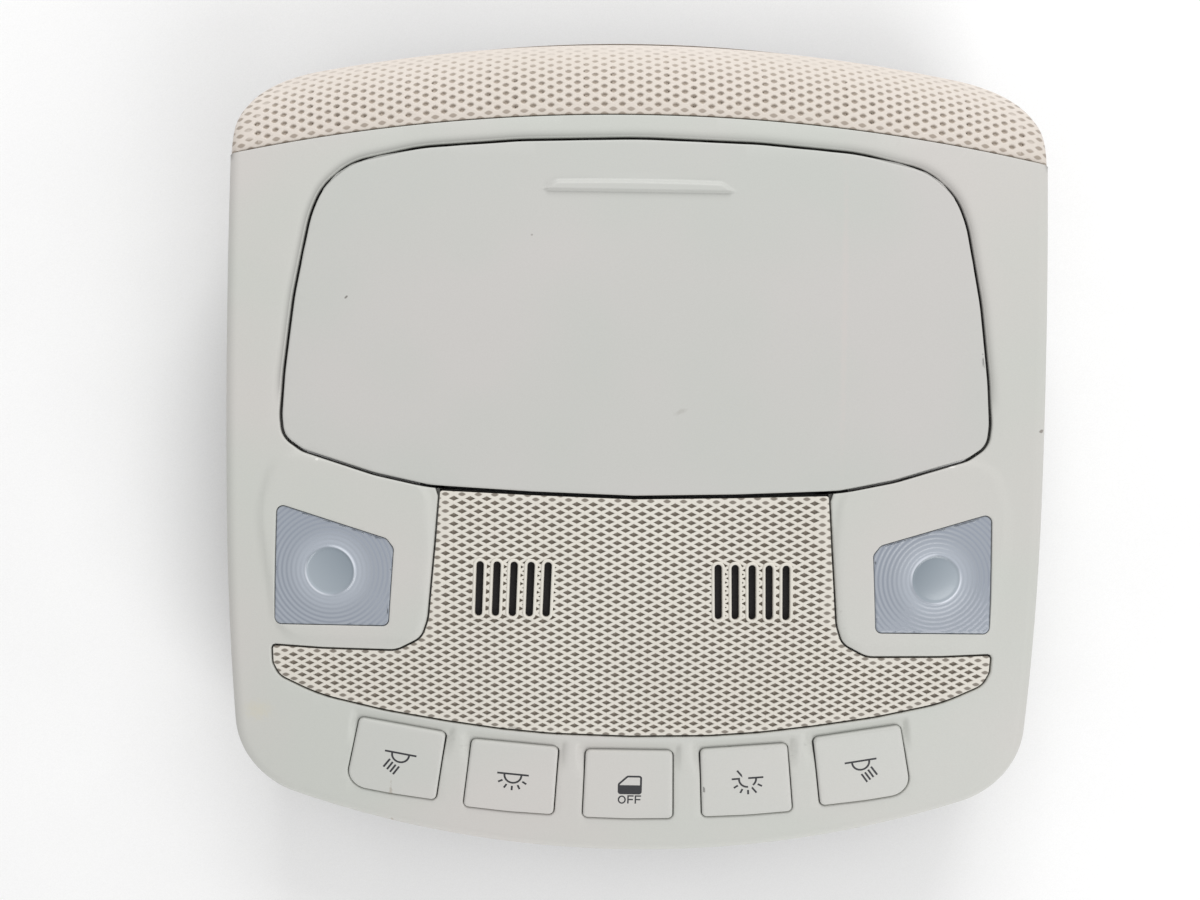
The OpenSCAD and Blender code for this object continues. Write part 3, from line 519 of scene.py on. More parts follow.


# Painted light on the lens: ripple shading, a painted halo outside the dome, painted shading across the bowl
# and painted highlights on the bead.
def lensPaintedLight(tree, under):
    place = addNode(tree, "ShaderNodeSeparateXYZ", {0: objectPlace(tree)}).outputs
    out = calc(tree, "SUBTRACT", calc(tree, "ABSOLUTE", place[0]), lamp["x"] * mm)
    out = calc(tree, "MULTIPLY", out, 1 / mm)
    up = calc(tree, "MULTIPLY", calc(tree, "SUBTRACT", place[1], lamp["y"] * mm), 1 / mm)
    reach = length(tree, out, up)
    # Painted ripple shading.
    phase = calc(tree, "MULTIPLY", calc(tree, "SUBTRACT", reach, lamp["dome"]), 2 * math.pi / lamp["ripple"])
    wave = scaled(tree, calc(tree, "SINE", phase), -0.6, 1.0)
    wave = calc(tree, "MULTIPLY", wave, scaled(tree, reach, lamp["dome"] + 0.9, 15.0, (0.0, 0.75)))
    colour = mixColour(tree, wave, under, toLinear(140, 147, 160))
    # Painted highlight: a lighter halo just outside the dome.
    paintedHalo = calc(tree, "MULTIPLY", scaled(tree, reach, 12.5, 7.6, (0.0, 0.45)), scaled(tree, reach, 7.1, 7.4))
    colour = mixColour(tree, paintedHalo, colour, toLinear(188, 195, 205))
    # Painted shading: the bowl lighter towards one side and darker towards the other.
    lean = calc(tree, "ADD", calc(tree, "MULTIPLY", out, 0.8), calc(tree, "MULTIPLY", up, -0.6))
    bowl = mixColour(tree, scaled(tree, lean, -6.5, 6.5), toLinear(134, 144, 153), toLinear(166, 175, 183))
    colour = mixColour(tree, scaled(tree, reach, 7.15, 6.85), colour, bowl)
    # Painted highlights on the bead, on two opposite sides.
    lit = calc(tree, "MAXIMUM", scaled(tree, lean, 3.2, 6.8), scaled(tree, lean, -3.8, -6.8, (0.0, 0.8)))
    bead = calc(tree, "MULTIPLY", scaled(tree, reach, 7.75, 7.3), scaled(tree, reach, 6.8, 7.15))
    return mixColour(tree, calc(tree, "MULTIPLY", bead, lit), colour, toLinear(222, 227, 236))


def plastic(name, base, tint, rough=0.5, grain=0.2, paintedShade=None, marks=(), metal=0.0):
    material = bpy.data.materials.new(name)
    material.use_nodes = True
    tree = material.node_tree
    shader = tree.nodes["Principled BSDF"]
    skin = addNode(tree, "ShaderNodeGroup", node_tree=moulded)
    for key, value in {"Base": toLinear(*base), "Tint": toLinear(*tint), "Roughness": rough,
                       "Grain": grain}.items():
        skin.inputs[key].default_value = value
    colour = skin.outputs["Colour"]
    for mark in marks:
        colour = mark(tree, colour)
    # Painted shade: the per-vertex attribute darkens the colour towards the paintedShade colour in gaps,
    # grooves and pits.
    if paintedShade:
        shade = addNode(tree, "ShaderNodeAttribute", attribute_name="paintedShade").outputs["Fac"]
        colour = mixColour(tree, shade, colour, toLinear(*paintedShade))
    tree.links.new(colour, shader.inputs["Base Color"])
    tree.links.new(skin.outputs["Roughness"], shader.inputs["Roughness"])
    tree.links.new(skin.outputs["Normal"], shader.inputs["Normal"])
    shader.inputs["Metallic"].default_value = metal
    return material


shellMarks = [
    spot(118.4, 6.1, 0.9, 0.6, 20, (110, 100, 92), 0.7),
    spot(92.4, -4.75, 1.3, 0.35, 8, (238, 236, 232), 0.9),
    spot(-92.7, -5.2, 0.6, 0.4, 0, (232, 230, 226), 0.8),
    spot(-73.7, -119.0, 0.8, 2.2, -3, (150, 136, 118), 0.55),
    spot(-112.2, -81.2, 6.0, 4.5, 0, (206, 200, 176), 0.35, 0.9),
    spot(62.0, 4.0, 0.4, 0.3, 0, (120, 114, 106), 0.5)]
doorMarks = [
    spot(12.9, 10.1, 2.6, 1.1, 25, (168, 166, 160), 0.45, 0.9),
    spot(-84.7, 42.1, 0.7, 0.4, 40, (96, 90, 84), 0.75),
    spot(60.3, 40.0, 1.4, 60.0, 0, (206, 198, 194), 0.35, 0.9),
    spot(-31.0, 61.0, 0.35, 0.3, 0, (120, 114, 106), 0.5)]
keyMarks = [
    spot(-73.3, -109.5, 0.7, 6.0, -3, (152, 140, 122), 0.45),
    spot(-73.5, -115.0, 1.2, 1.6, 0, (142, 128, 108), 0.45)]
# Painted pit shade for the band and grille edges.
bandPaintedPits = paintedPitLattice(bandCell["halfX"], bandCell["halfY"], bandCell["middle"], (160, 148, 136),
                   band["lineRadius"], (20.0, 30.0))
grillePaintedPits = paintedPitLattice(grille["halfCellX"], grille["halfCellY"], grille["middle"], (130, 122, 112))
# Painted shade colour for the gaps, grooves and openings of shell, door and keys.
paintedGapShade = (20, 18, 17)
shellPlastic = plastic("shellPlastic", (204, 201, 197), (199, 201, 195), 0.55, 0.15, paintedGapShade, shellMarks)
doorPlastic = plastic("doorPlastic", (200, 198, 195), (195, 197, 192), 0.5, 0.15, paintedGapShade, doorMarks)
keyPlastic = plastic("keyPlastic", (205, 202, 198), (200, 201, 196), 0.5, 0.15, paintedGapShade, keyMarks)
# The band and grille colours below are painted shade for their pits and edge walls.
bandPlastic = plastic("bandPlastic", (215, 206, 197), (212, 203, 193), 0.6, 0.2, (172, 160, 147), [bandPaintedPits])
grillePlastic = plastic("grillePlastic", (225, 221, 211), (220, 215, 205), 0.6, 0.2, (148, 139, 128),
                        [grillePaintedPits])
blackPlastic = plastic("blackPlastic", (26, 26, 28), (32, 31, 32), 0.45, 0.4)
darkPlastic = plastic("darkPlastic", (62, 64, 68), (56, 58, 62), 0.5, 0.4)
feltBlack = plastic("feltBlack", (12, 11, 14), (16, 14, 17), 0.95, 1.0)
rubber = plastic("rubber", (30, 30, 30), (38, 37, 36), 0.8, 0.6)
steel = plastic("steel", (176, 178, 182), (160, 162, 168), 0.3, 0.2, metal=1.0)
whitePlastic = plastic("whitePlastic", (232, 232, 228), (222, 222, 220), 0.4, 0.2)
boardGreen = plastic("boardGreen", (28, 82, 50), (22, 70, 44), 0.35, 0.3)
inkNavy = plastic("inkNavy", (24, 25, 31), (30, 31, 38), 0.6, 0.2)
# The lens colour carries painted ripple shading, painted shading and painted highlights.
lensPlastic = plastic("lensPlastic", (163, 169, 178), (157, 164, 174), 0.22, 0.05, marks=[lensPaintedLight])

nodeLooks = {
    "carrier_frame": darkPlastic, "glasses_bin": darkPlastic, "bin_liner": rubber, "striker_plate": steel,
    "hinge_pin_left": steel, "hinge_pin_right": steel, "damper_body": blackPlastic, "damper_gear": whitePlastic,
    "door_bumpers": rubber, "latch_housing": blackPlastic, "latch_plunger": darkPlastic, "latch_spring": steel,
    "reflector_left": whitePlastic, "reflector_right": whitePlastic, "bulb_left": whitePlastic,
    "bulb_right": whitePlastic, "bulb_holder_left": blackPlastic, "bulb_holder_right": blackPlastic,
    "tact_switches": blackPlastic, "circuit_board": boardGreen, "plug_header": whitePlastic,
    "switch_housing": blackPlastic, "housing_screws": steel, "microphone_left": steel,
    "microphone_right": steel, "roof_clips": steel}
for node, look in nodeLooks.items():
    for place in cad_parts[node].material_slots:
        place.link = "OBJECT"
        place.material = look
print("materials", len(bpy.data.materials))


# Painted shade: verts below the skin get darker with depth, from start to end, times share.
def paintShadeByDepth(bm, start, end, share=None):
    layer = bm.verts.layers.float.get("paintedShade") or bm.verts.layers.float.new("paintedShade")
    for v in bm.verts:
        x, y, z = v.co
        if z < -0.01:
            v[layer] = smoothStep(start, end, -z) * (share(x, y) if share else 1.0)


# Verts outside the modelled pits carry on the lattice as colour: painted pit shade.
def markRim(bm):
    layer = bm.verts.layers.float["rim"]
    for v in bm.verts:
        v[layer] = smoothStep(-3.0, -2.0, v.co.z) if v[layer] > -0.25 else 0.0


# Bezel: the shell in front of the parting line.
podLoop = roundCorners([(61.5, -12), (60.5, -30, 40), (62, -50, 30), (64.5, -57.6, 7), (104, -57.7, 9),
                        (108.5, -20, 30), (104, -3.5, 14)], 8, 2.5)
podHeight = 0.7
scoopDepth = 1.1
grooveDrop = 0.85


def bezelRelief(x, y):
    lift = 0.0
    ax = abs(x)
    if 55 < ax < 114 and -66 < y < 4:
        gap = 0.0 if inPolygon(ax, y, podLoop) else toLoop(ax, y, podLoop)
        lift += podHeight * (1 - smoothStep(0.0, 2.6, gap))
    if y < -78:
        lift -= scoopDepth * max(scoopAt(x, y, index) for index in range(-2, 3))
    if y > 8:
        away = min(1.0, (toLoop(x, y, doorLoop) - door["gap"]) / 3.0)
        lift -= grooveDrop * (1 - away) ** 2 * smoothStep(8, 16, y)
    return lift


def scoopAt(x, y, index):
    u, v, turn = keyPlace(index)
    dx, dy = x - u, (y - keys["y"]) / math.cos(keyTilt) - v
    across = abs(dx * math.cos(turn) + dy * math.sin(turn)) - keys["width"] / 2
    along = dy * math.cos(turn) - dx * math.sin(turn) - keys["length"] / 2
    return smoothStep(2.6, 0.5, across) * smoothStep(-11, -0.5, along) * smoothStep(3.6, 1.1, along)


def nearBox(f, halfX, low, high, middle=0):
    x, y, z = f.calc_center_median()
    return abs(x - middle) < halfX and low < y < high and z > -0.05


def bezelPiece():
    bm = bmesh.new()
    tops = []
    top, _ = skirt(bm, bodyLoop, quarterRoll(console["edge"], 7, 999))
    tops += top
    around = shifted(doorLoop, -door["gap"])
    below = shifted(grilleLoop, -0.3)
    doorAndGrille = (openRun(around, lambda x, y: y < -8 and abs(x) < 57.6)
                     + openRun(below, lambda x, y: y > -14.3 or y > -17 and abs(x) < 56.8))
    openings = [(doorAndGrille, quarterRoll(0.6, 4, console["wall"]))]
    lens = shifted(lensLoop, -0.15)
    openings += [(lens, quarterRoll(0.3, 3, console["wall"])),
                 ([(-x, y) for x, y in reversed(lens)], quarterRoll(0.3, 3, console["wall"]))]
    openings += [(keyLoop(k, keys["clear"]), quarterRoll(0.5, 3, console["wall"])) for k in range(-2, 3)]
    for points, profile in openings:
        top, _ = skirt(bm, points, profile, -1)
        tops += top
    steps = [openRun(shifted(around, -reach), lambda x, y: y < 12) for reach in (0.9, 1.5, 2.2, 3.0)]
    fillFlat(bm, tops, 1, steps)
    cutGrid(bm, 0, -halfWidth, halfWidth, 4)
    cutGrid(bm, 1, -halfLength, halfLength - band["reach"], 4)
    web = mirrored([(0, -16.4), (57, -16.4), (57, -13.3), (30, -14.6), (0, -15.4)])
    top, _ = skirt(bm, evenly(web, 3), [(0, 1.9), (0, console["wall"])])
    fillFlat(bm, top)
    cutGrid(bm, 0, -96, 96, 1.2, lambda f: nearBox(f, 96, -99, -80))
    cutGrid(bm, 1, -99, -80, 0.6, lambda f: nearBox(f, 96, -99, -80))
    for side in (-1, 1):
        cutGrid(bm, 0, side * 86 - 29, side * 86 + 29, 1.3, lambda f: nearBox(f, 30, -66, 3, side * 86))
        cutGrid(bm, 1, -66, 3, 1.3, lambda f: nearBox(f, 30, -66, 3, side * 86))
    lineGap, lineRoll = 0.18, 0.35
    for i in range(-22, 23):
        turn = math.radians(i * 0.62)
        out = Vector((math.sin(turn), math.cos(turn), 0))
        start = Vector((0, lineY - band["lineRadius"], 0)) + out * (band["lineRadius"] - lineGap - lineRoll)
        cutAcross(bm, list(bm.faces), start, out, clear=True)
    edges = [e for e in bm.edges if e.is_boundary and all(beyondLine(*v.co.xy) > -1.2 for v in e.verts)]
    base = band["lineRadius"] - lineGap - lineRoll
    last = 0.0
    for i in range(1, 6):
        reach = lineRoll * math.sin(min(1, i / 4) * math.pi / 2)
        drop = lineRoll * (1 - math.cos(min(1, i / 4) * math.pi / 2)) if i < 5 else 2.0
        made = bmesh.ops.extrude_edge_only(bm, edges=edges)["geom"]
        edges = [e for e in made if isinstance(e, bmesh.types.BMEdge) and e.is_boundary
                 and all(v in made for v in e.verts)]
        for v in {v for e in edges for v in e.verts}:
            out = Vector((v.co.x, v.co.y - lineY + band["lineRadius"]))
            out *= (base + reach) / out.length
            v.co.x, v.co.y = out.x, out.y + lineY - band["lineRadius"]
            if v.co.z > -last - 0.01:
                v.co.z = -drop
        last = drop
    # Painted shade on the bezel's walls below the skin, in the openings and gaps; lighter at the parting line,
    # none on the outer roll.
    paintShadeByDepth(bm, 0.35, 1.2, lambda x, y: 0.35 if beyondLine(x, y) > -1.2 else toLoop(x, y, bodyLoop) > 3.8)
    # Painted shade along the door groove at the rear and sides, stronger towards the left.
    layer = bm.verts.layers.float["paintedShade"]
    for v in bm.verts:
        x, y, z = v.co
        near = (toLoop(x, y, doorLoop) - door["gap"]) / 2.4 if z > -0.01 and y > 8 and abs(x) < 108 else 1
        if near < 1:
            v[layer] = 0.62 * (1 - near) ** 2 * smoothStep(8, 20, y) * (0.55 + 0.45 * smoothStep(60, -60, x))
    drape(bm, bezelRelief, nearKey)

    def inner(f):
        x, y, _ = f.calc_center_median()
        return not (toLoop(x, y, bodyLoop) < 1.0 and f.normal.xy.length > 0.5
                    and f.normal.xy.dot(Vector((x, y * 0.6))) > 0)
    underPart(bm, "bezel", console["wall"] - 0.15, inner)
    return piece("bezelShell", bm, shellPlastic, "console", "bezel")


bezelPiece()


# Door skin with its rolled edge and the push ridge.
def doorRelief(x, y):
    half = door["ridgeWidth"] / 2
    end = door["ridgeLength"] / 2
    top = half - 0.5 * (x / end) ** 2 - 2.4 * smoothStep(end - 4.5, end + 0.5, abs(x))
    rise = smoothStep(-0.3, 1.5, top - y + door["ridgeY"]) * smoothStep(-0.25, 0.45, y - door["ridgeY"] + half)
    return door["ridgeHeight"] * rise * smoothStep(end + 0.7, end - 1.5, abs(x))


def doorPiece():
    bm = bmesh.new()
    top, low = skirt(bm, doorLoop, quarterRoll(door["roll"], 4, door["thick"]))
    fillFlat(bm, top)
    fillFlat(bm, low, -1)
    cutGrid(bm, 0, -104, 104, 4)
    cutGrid(bm, 1, -16, 92, 4)

    def nearRidge(f):
        return abs(f.calc_center_median().y - door["ridgeY"]) < 3 and f.calc_center_median().z > -0.05
    cutGrid(bm, 1, door["ridgeY"] - 2.6, door["ridgeY"] + 2.6, 0.2, nearRidge)
    cutGrid(bm, 0, -29, 29, 1, nearRidge)
    # Painted shade on the door's rolled edge and side wall.
    paintShadeByDepth(bm, 0.6, 1.2)
    drape(bm, doorRelief)
    underPart(bm, "door_panel", door["thick"])
    return piece("doorSkin", bm, doorPlastic, "door", "door_panel", 35)


doorPiece()


# A field of blind pits on a staggered lattice of rhombic cells.
def pitField(bm, halfX, halfY, middle, reach, inside, insets, rounded=0.0):
    count = int(reach / halfX) + 2
    made = bmesh.ops.create_grid(bm, x_segments=2 * count, y_segments=2 * count, size=count)
    for v in made["verts"]:
        u, w = round(v.co.x), round(v.co.y)
        v.co = ((u + w) * halfX, middle + (w - u) * halfY, 0)
    bmesh.ops.delete(bm, geom=[v for v in made["verts"] if not inside(v.co.x, v.co.y)], context="VERTS")
    pinched = True
    while pinched:
        pinched = [v for v in bm.verts if sum(e.is_boundary for e in v.link_edges) > 2]
        bmesh.ops.delete(bm, geom=[f for f in {f for v in pinched for f in v.link_faces}], context="FACES")
    loose = [v for v in bm.verts if not v.link_faces]
    bmesh.ops.delete(bm, geom=loose, context="VERTS")
    cells = list(bm.faces)
    for f in cells:
        f.material_index = 1
    for i, (thickness, depth) in enumerate(insets):
        rims = bmesh.ops.inset_individual(bm, faces=cells, thickness=thickness, depth=-depth,
                                          use_even_offset=True)
        for f in rims["faces"]:
            f.material_index = 0
        if rounded and i == 0:
            for sharp, offset in ((True, rounded), (False, rounded * 0.4)):
                verts = [v for f in cells for v in f.verts
                         if (abs(v.co.y - f.calc_center_median().y) < 0.05) == sharp]
                bmesh.ops.bevel(bm, geom=verts, offset=offset, segments=1, affect="VERTICES")
                cells = [f for f in bm.faces if f.material_index == 1 and len(f.verts) > 4]
    border = [e for e in bm.edges if e.is_boundary]
    layer = bm.verts.layers.float.new("rim")
    for v in bm.verts:
        v[layer] = -1.0
    for v in {v for e in border for v in e.verts}:
        v[layer] = 0.0
    return border


def bandPoint(s, q):
    turn = s / band["lineRadius"]
    radius = band["lineRadius"] + q
    return radius * math.sin(turn), lineY - band["lineRadius"] + radius * math.cos(turn)


def bandPlan(x, y):
    turn = math.atan2(x, y - lineY + band["lineRadius"])
    return turn * band["lineRadius"], beyondLine(x, y)


def bandPiece():
    loop = [bandPlan(x, y) for x, y in bodyLoop if y > lineY - 40]
    bm = bmesh.new()

    def inside(s, q):
        clear = abs(s) < 60 or toLoop(s, q, loop) > 4.3
        return clear and 0.9 < q < bandCell["rows"] and inPolygon(s, q, field)
    field = shifted(loop, 4.4)
    border = pitField(bm, bandCell["halfX"], bandCell["halfY"], bandCell["middle"], 160, inside,
                      [(0.3, 0.0), (0.16, 0.1), (0.22, 0.35), (0.2, 0.3)], 0.85)
    top, _ = skirt(bm, loop, quarterRoll(console["edge"], 7, 999))
    fillFlat(bm, top + border)
    cutGrid(bm, 0, -120, 120, 4, lambda f: len(f.verts) < 4 or f.calc_center_median().z < -0.2)
    cutAcross(bm, list(bm.faces), (0, 0.5, 0), (0, -1, 0), clear=True)
    edges = [e for e in bm.edges if e.is_boundary and all(v.co.y < 0.51 for v in e.verts)]
    last = 0.0
    for q, drop in [(0.32, 0.06), (0.2, 0.25), (0.16, 2.4)]:
        made = bmesh.ops.extrude_edge_only(bm, edges=edges)["geom"]
        edges = [e for e in made if isinstance(e, bmesh.types.BMEdge) and e.is_boundary
                 and all(v in made for v in e.verts)]
        for v in {v for e in edges for v in e.verts}:
            v.co.y = q
            if v.co.z > -last - 0.01:
                v.co.z = -drop
        last = drop
    # Painted shade in the band's pits and on its edge at the parting line.
    paintShadeByDepth(bm, 0.1, 0.75, lambda s, q: q < 0.5 or toLoop(s, q, loop) > 3.8)
    markRim(bm)
    for v in bm.verts:
        s, q, z = v.co
        fade = 1 - 0.75 * smoothStep(13, 25, q) if z > -1.5 else 1
        v.co = (*bandPoint(s, q), z * fade)
    drape(bm)

    def inner(f):
        x, y, _ = f.calc_center_median()
        return not (toLoop(x, y, bodyLoop) < 1.0 and f.normal.xy.dot(Vector((x, y * 0.6))) > 0.3)
    underPart(bm, "rear_band", console["wall"] - 0.15, inner)
    return piece("rearBand", bm, bandPlastic, "console", "rear_band", 60, extra=(bandPlastic,))


bandPiece()


# Grille insert: pits, ten slots with raised rims and a dark felt behind them.
slotPlaces = [(s * grille["slotX"] + i * grille["slotPitch"], grille["slotY"], s)
              for s in (-1, 1) for i in range(-2, 3)]


def slotLoop(width, length, count=8):
    half = length / 2 - width / 2
    return arc(0, half, width / 2, 0, 180, count) + arc(0, -half, width / 2, 180, 360, count)


def grillePiece():
    bm = bmesh.new()
    loop = shifted(grilleLoop, 0.25)
    field = shifted(grilleLoop, grille["margin"])
    border = pitField(bm, grille["halfCellX"], grille["halfCellY"], grille["middle"], 190,
                      lambda x, y: inPolygon(x, y, field), [(0.31, 0.0), (0.1, 0.1), (0.12, 0.8)])
    top, _ = skirt(bm, loop, quarterRoll(0.2, 3, 1.9))
    fillFlat(bm, top + border)
    for x, y, side in slotPlaces:
        lean = math.radians(grille["lean"]) * side
        for dx, dy, reach in [(1, 0, grille["slotWidth"] / 2 + 0.4), (0, 1, grille["slotLength"] / 2 + 0.1)]:
            for end in (-1, 1):
                out = Vector((dx * end, dy * end, 0))
                out.rotate(Matrix.Rotation(lean, 3, "Z"))
                near = [f for f in bm.faces if abs(f.calc_center_median().x - x) < 6
                        and abs(f.calc_center_median().y - y) < 14]
                cutAcross(bm, near, Vector((x, y, 0)) + out * reach, out)
        turn = Matrix.Rotation(-lean, 2)
        gone = []
        for f in bm.faces:
            place = turn @ (f.calc_center_median().xy - Vector((x, y)))
            if abs(place.x) < grille["slotWidth"] / 2 + 0.4 and abs(place.y) < grille["slotLength"] / 2 + 0.1:
                gone.append(f)
        bmesh.ops.delete(bm, geom=gone, context="FACES")
    # Painted shade in the grille's pits and down its edge wall.
    paintShadeByDepth(bm, 0.12, 0.7)
    markRim(bm)
    rims = bmesh.new()
    for x, y, side in slotPlaces:
        lean = math.radians(grille["lean"]) * side
        ring = slotLoop(grille["slotWidth"], grille["slotLength"], 10)
        high, wide = grille["rimHeight"], grille["rim"]
        turns = [math.pi * i / 8 for i in range(1, 8)]
        bead = [(-wide / 2 * (1 + math.cos(a)), -high * math.sin(a)) for a in turns]
        outward = [(-wide - 0.02, 1.2), (-wide, 0.0)] + bead + [(0, 0.05), (0.03, 1.9)]
        before = len(rims.verts)
        skirt(rims, ring, outward)
        rims.verts.ensure_lookup_table()
        verts = rims.verts[before:]
        bmesh.ops.rotate(rims, cent=(0, 0, 0), matrix=Matrix.Rotation(lean, 3, "Z"), verts=verts)
        bmesh.ops.translate(rims, vec=(x, y, 0), verts=verts)
    # Painted shade down the inner walls of the slot rims.
    paintShadeByDepth(rims, 1.0, 1.8)
    faceOut(bm)
    faceOut(rims)
    join(bm, rims)
    drape(bm)
    underPart(bm, "mic_grille", 1.8)
    return piece("micGrille", bm, grillePlastic, "console", "mic_grille", 40,
                 extra=(grillePlastic,))


grillePiece()


def feltPiece():
    bm = bmesh.new()
    for side in (-1, 1):
        loop = roundCorners([(-13, -10), (13, -10), (13, 10), (-13, 10)], 2)
        ring = [(x + side * grille["slotX"], y + grille["slotY"]) for x, y in loop]
        top, low = skirt(bm, ring, [(0, 1.5), (0, 1.75)])
        fillFlat(bm, top)
        fillFlat(bm, low, -1)
    drape(bm)
    return piece("slotFelt", bm, feltBlack, "console")


feltPiece()


# Lens plates: a low dome with a bead round it; ripple shading, a halo, bowl shading and bead highlights are
# painted in the material.
def lensPiece(side):
    loop = lensLoop if side > 0 else [(-x, y) for x, y in reversed(lensLoop)]
    bm = bmesh.new()
    top, low = skirt(bm, loop, quarterRoll(0.4, 3, lamp["thick"]))
    radii = [0.6 * i for i in range(1, 11)] + [6.3, 6.6, 6.85, 7.1, 7.35, 7.6]
    radii += [7.8 + lamp["ripple"] / 6 * i for i in range(90)]
    clearOf = shifted(loop, 0.6)
    rings = []
    for r in radii:
        ring = arc(side * lamp["x"], lamp["y"], r, 0, 360, max(16, round(2 * math.pi * r)))
        rings += insideRuns(ring, clearOf)
    fillFlat(bm, top, 1, rings)
    fillFlat(bm, low, -1)

    def relief(x, y):
        r = math.hypot(x - side * lamp["x"], y - lamp["y"])
        bead = 0.35 * math.exp(-((r - lamp["dome"]) / 0.4) ** 2)
        bowl = 0.5 * (1 - (r / lamp["dome"]) ** 2) if r < lamp["dome"] else 0
        wave = 0
        if r > lamp["dome"] + 0.6:
            wave = 0.06 * math.cos(2 * math.pi * (r - lamp["dome"]) / lamp["ripple"])
        return podHeight - 0.35 + bead + bowl + wave
    drape(bm, relief)
    name = "left" if side < 0 else "right"
    return piece("lensPlate_" + name, bm, lensPlastic, "console", "lens_" + name, 50)


for side in (-1, 1):
    lensPiece(side)


# Keys with soft edges.
def keyPiece(index):
    bm = bmesh.new()
    top, low = skirt(bm, keyLoop(index), quarterRoll(keys["roll"], 4, 2.2))
    fillFlat(bm, top)
    fillFlat(bm, low, -1)
    u, v, _ = keyPlace(index)
    cutGrid(bm, 0, u - 16, u + 16, 2)
    cutGrid(bm, 1, keys["y"] - 16, keys["y"] + 24, 2)
    # Painted shade down the key's side walls.
    paintShadeByDepth(bm, 0.8, 1.6)
    drape(bm, lambda x, y: keys["rise"], lambda x, y: True)
    number = str(index + 3)
    underPart(bm, "button_" + number, 2.0)
    return piece("keyCap_" + number, bm, keyPlastic, "key_" + number, "button_" + number)


for index in range(-2, 3):
    keyPiece(index)


# Printed symbols: strokes laid on the keys, in each key's own frame (u across, v away from the front edge).
symbol = {"stroke": 0.6, "letter": 0.45, "barHalf": 4.85, "bowl": 2.6, "bowlDrop": 0.35, "ray": (3.5, 5.0),
          "spread": (-60, -29, 0, 29, 60), "clear": 0.75, "lift": 0.02}
symbolPlaces = {-2: (1.0, 2.5), -1: (0.35, 1.5), 0: (0.5, 0.15), 1: (0.65, 1.2), 2: (-0.1, 2.1)}
beams = [((-2.94, -2.46), (-4.54, -5.44)), ((-1.96, -3.30), (-3.35, -6.05)), ((-0.93, -4.02), (-2.32, -6.75)),
         ((0.16, -4.40), (-1.31, -7.36))]
slash = ((-3.08, 2.77), (2.56, -5.12))
doorSign = [(-3.45, -2.8), (3.35, -2.8), (3.35, 2.95), (-0.8, 2.95), (-3.45, 0.35)]


def lampSign():
    bowl = arc(0, -symbol["bowlDrop"], symbol["bowl"], 180, 360, 20)
    return [[(-symbol["barHalf"], 0), (symbol["barHalf"], 0)], [(bowl[0][0], 0)] + bowl + [(bowl[-1][0], 0)]]


def raysOf(turns):
    middle = -symbol["bowlDrop"] - 0.15
    return [[(r * math.sin(math.radians(a)), middle - r * math.cos(math.radians(a))) for r in symbol["ray"]]
            for a in turns]


def parted(points, wall, gap):
    runs = [[]]
    (ax, ay), (bx, by) = wall
    reach = math.dist(*wall)
    for (px, py), (qx, qy) in zip(points, points[1:]):
        for i in range(24):
            x, y = px + (qx - px) * i / 23, py + (qy - py) * i / 23
            if abs((x - ax) * (by - ay) - (y - ay) * (bx - ax)) / reach < gap:
                runs.append([])
            else:
                runs[-1].append((x, y))
    return [[run[0]] + run[4:-1:4] + [run[-1]] for run in runs if len(run) > 3]


def signLines(index):
    if abs(index) == 2:
        side = -1 if index > 0 else 1
        return lampSign() + [[(side * x, y) for x, y in beam] for beam in beams]
    if index == -1:
        return lampSign() + raysOf(symbol["spread"])
    if index == 1:
        lines = lampSign() + raysOf(symbol["spread"][:3] + symbol["spread"][4:])
        return [list(slash)] + [run for line in lines for run in parted(line, slash, symbol["clear"])]
    frameLine = roundCorners(doorSign, 0.6, 0.4)
    return [frameLine + frameLine[:1]]


def letterLines():
    turns = [math.pi * i / 12 for i in range(25)]
    lines = [[(-2.43 + 1.02 * math.cos(a), -4.98 + 1.2 * math.sin(a)) for a in turns]]
    for x in (-0.52, 1.76):
        lines += [[(x, -6.3), (x, -3.45)], [(x, -3.66), (x + 1.72, -3.66)], [(x, -4.9), (x + 1.55, -4.9)]]
    return lines


def stroke(bm, points, width):
    if math.dist(points[0], points[-1]) < 1e-6:
        fillFlat(bm, [e for side in (-1, 1) for e in ringOf(bm, shifted(points[:-1], side * width / 2), 0)[1]])
        return
    left, right = [], []
    for i, p in enumerate(points):
        way = (Vector(points[min(len(points) - 1, i + 1)]) - Vector(points[max(0, i - 1)])).normalized()
        side = Vector((way.y, -way.x)) * width / 2
        right.append(tuple(Vector(p) + side))
        left.append(tuple(Vector(p) - side))
    fillFlat(bm, ringOf(bm, right + left[::-1], 0)[1])


def signPiece(index):
    bm = bmesh.new()
    for line in signLines(index):
        stroke(bm, line, symbol["stroke"])
    if index == 0:
        for line in letterLines():
            stroke(bm, line, symbol["letter"])
        _, edges = ringOf(bm, [(-3.4, -2.75), (3.3, -2.75), (3.3, 0), (-3.4, 0)], 0)
        fillFlat(bm, edges)
        cutGrid(bm, 0, -3, 3, 1)
    u, v, turn = keyPlace(index)
    du, dv = symbolPlaces[index]
    for vert in bm.verts:
        x, y, _ = vert.co
        x, y = x + du, y + dv
        across, along = x * math.cos(turn) - y * math.sin(turn), x * math.sin(turn) + y * math.cos(turn)
        vert.co = (u + across, keys["y"] + v * math.cos(keyTilt) + along, 0)
    faceOut(bm)
    made = bmesh.ops.extrude_face_region(bm, geom=list(bm.faces))["geom"]
    raised = [v for v in made if isinstance(v, bmesh.types.BMVert)]
    bmesh.ops.translate(bm, vec=(0, 0, symbol["lift"]), verts=raised)
    drape(bm, lambda x, y: keys["rise"] - 0.001)
    return piece("keySign_" + str(index + 3), bm, inkNavy, "key_" + str(index + 3))


for index in range(-2, 3):
    signPiece(index)


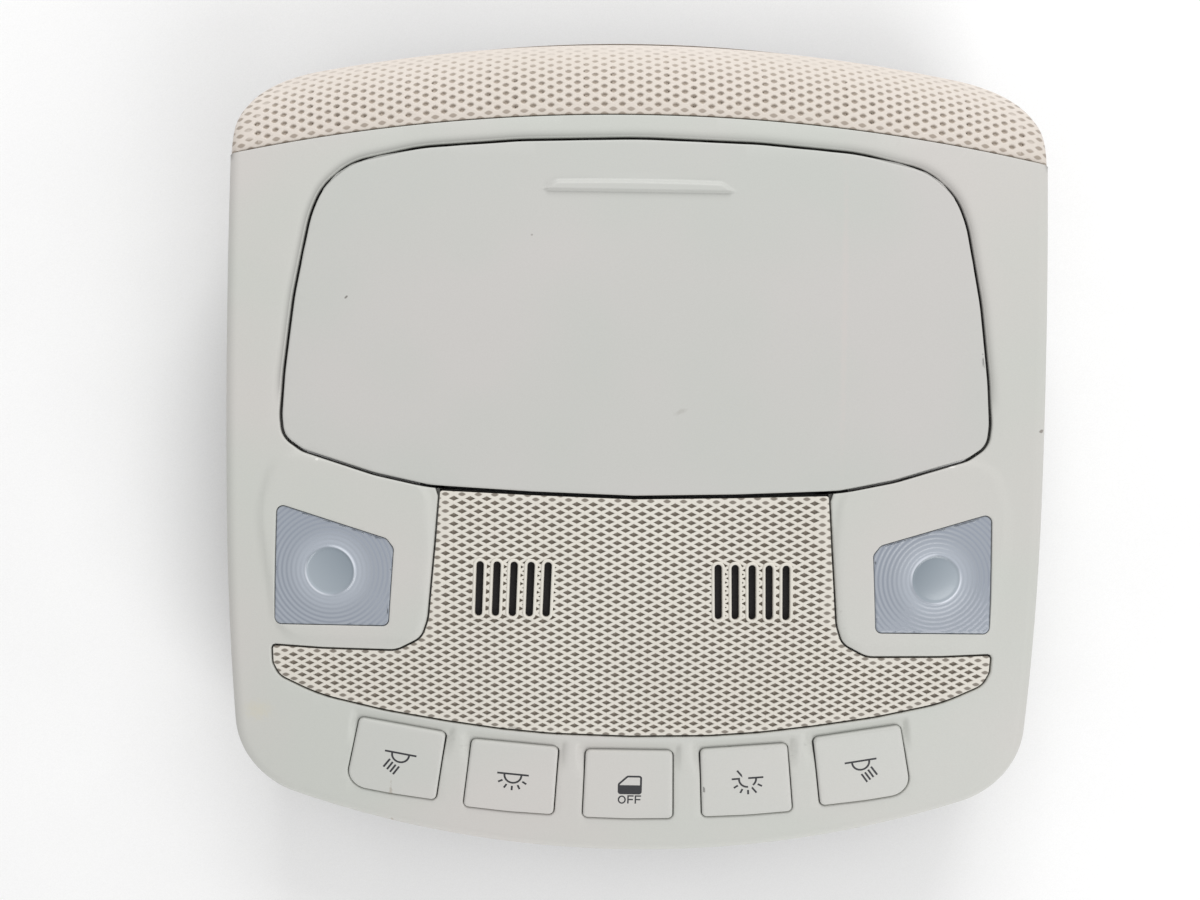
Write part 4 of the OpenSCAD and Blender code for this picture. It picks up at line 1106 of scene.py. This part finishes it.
# Camera, light and the pale floor.
view = {"x": -10.25, "y": -1.3, "height": 463.0, "turn": 0.85, "lens": 41.3}
camera = bpy.data.objects.new("camera", bpy.data.cameras.new("camera"))
camera.data.lens = view["lens"]
camera.data.sensor_width = 36
camera.data.clip_start = 0.01
camera.location = (view["x"] * mm, view["y"] * mm, view["height"] * mm)
camera.rotation_euler = (0, 0, math.radians(view["turn"]))
bpy.context.scene.collection.objects.link(camera)
bpy.context.scene.camera = camera

light = {"rear": (0.1, 1.25, 0.75, 0.8, 12.0), "front": (0.6, -1.1, 0.9, 0.9, 10.0)}
for name, (x, y, z, size, power) in light.items():
    lamp3d = bpy.data.lights.new(name, "AREA")
    lamp3d.size = size
    lamp3d.energy = power
    holder = bpy.data.objects.new(name, lamp3d)
    holder.location = (x, y, z)
    holder.rotation_euler = (Vector((0, 0, 0.04)) - Vector((x, y, z))).to_track_quat("-Z", "Y").to_euler()
    bpy.context.scene.collection.objects.link(holder)

world = bpy.data.worlds.new("studio")
world.use_nodes = True
tree = world.node_tree
tree.nodes.clear()
seen = addNode(tree, "ShaderNodeLightPath").outputs["Is Camera Ray"]
soft = addNode(tree, "ShaderNodeBackground", {"Color": (1, 1, 1, 1), "Strength": 0.58})
bright = addNode(tree, "ShaderNodeBackground", {"Color": (1, 1, 1, 1), "Strength": 1.0})
both = addNode(tree, "ShaderNodeMixShader", {0: seen, 1: soft.outputs[0], 2: bright.outputs[0]})
addNode(tree, "ShaderNodeOutputWorld", {"Surface": both.outputs[0]})
bpy.context.scene.world = world
bpy.context.scene.view_settings.view_transform = "Standard"


def floorPiece():
    bm = bmesh.new()
    bmesh.ops.create_grid(bm, x_segments=1, y_segments=1, size=2000)
    mesh = bpy.data.meshes.new("floor")
    bmesh.ops.scale(bm, vec=(mm,) * 3, verts=bm.verts)
    bmesh.ops.translate(bm, vec=(0, 0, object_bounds()[0].z - 0.0005), verts=bm.verts)
    bm.to_mesh(mesh)
    bm.free()
    mesh.materials.append(plastic("floorPaper", (252, 252, 252), (250, 250, 250), 0.9, 0.1))
    made = bpy.data.objects.new("floor", mesh)
    bpy.context.scene.collection.objects.link(made)


floorPiece()
print("scene ready")
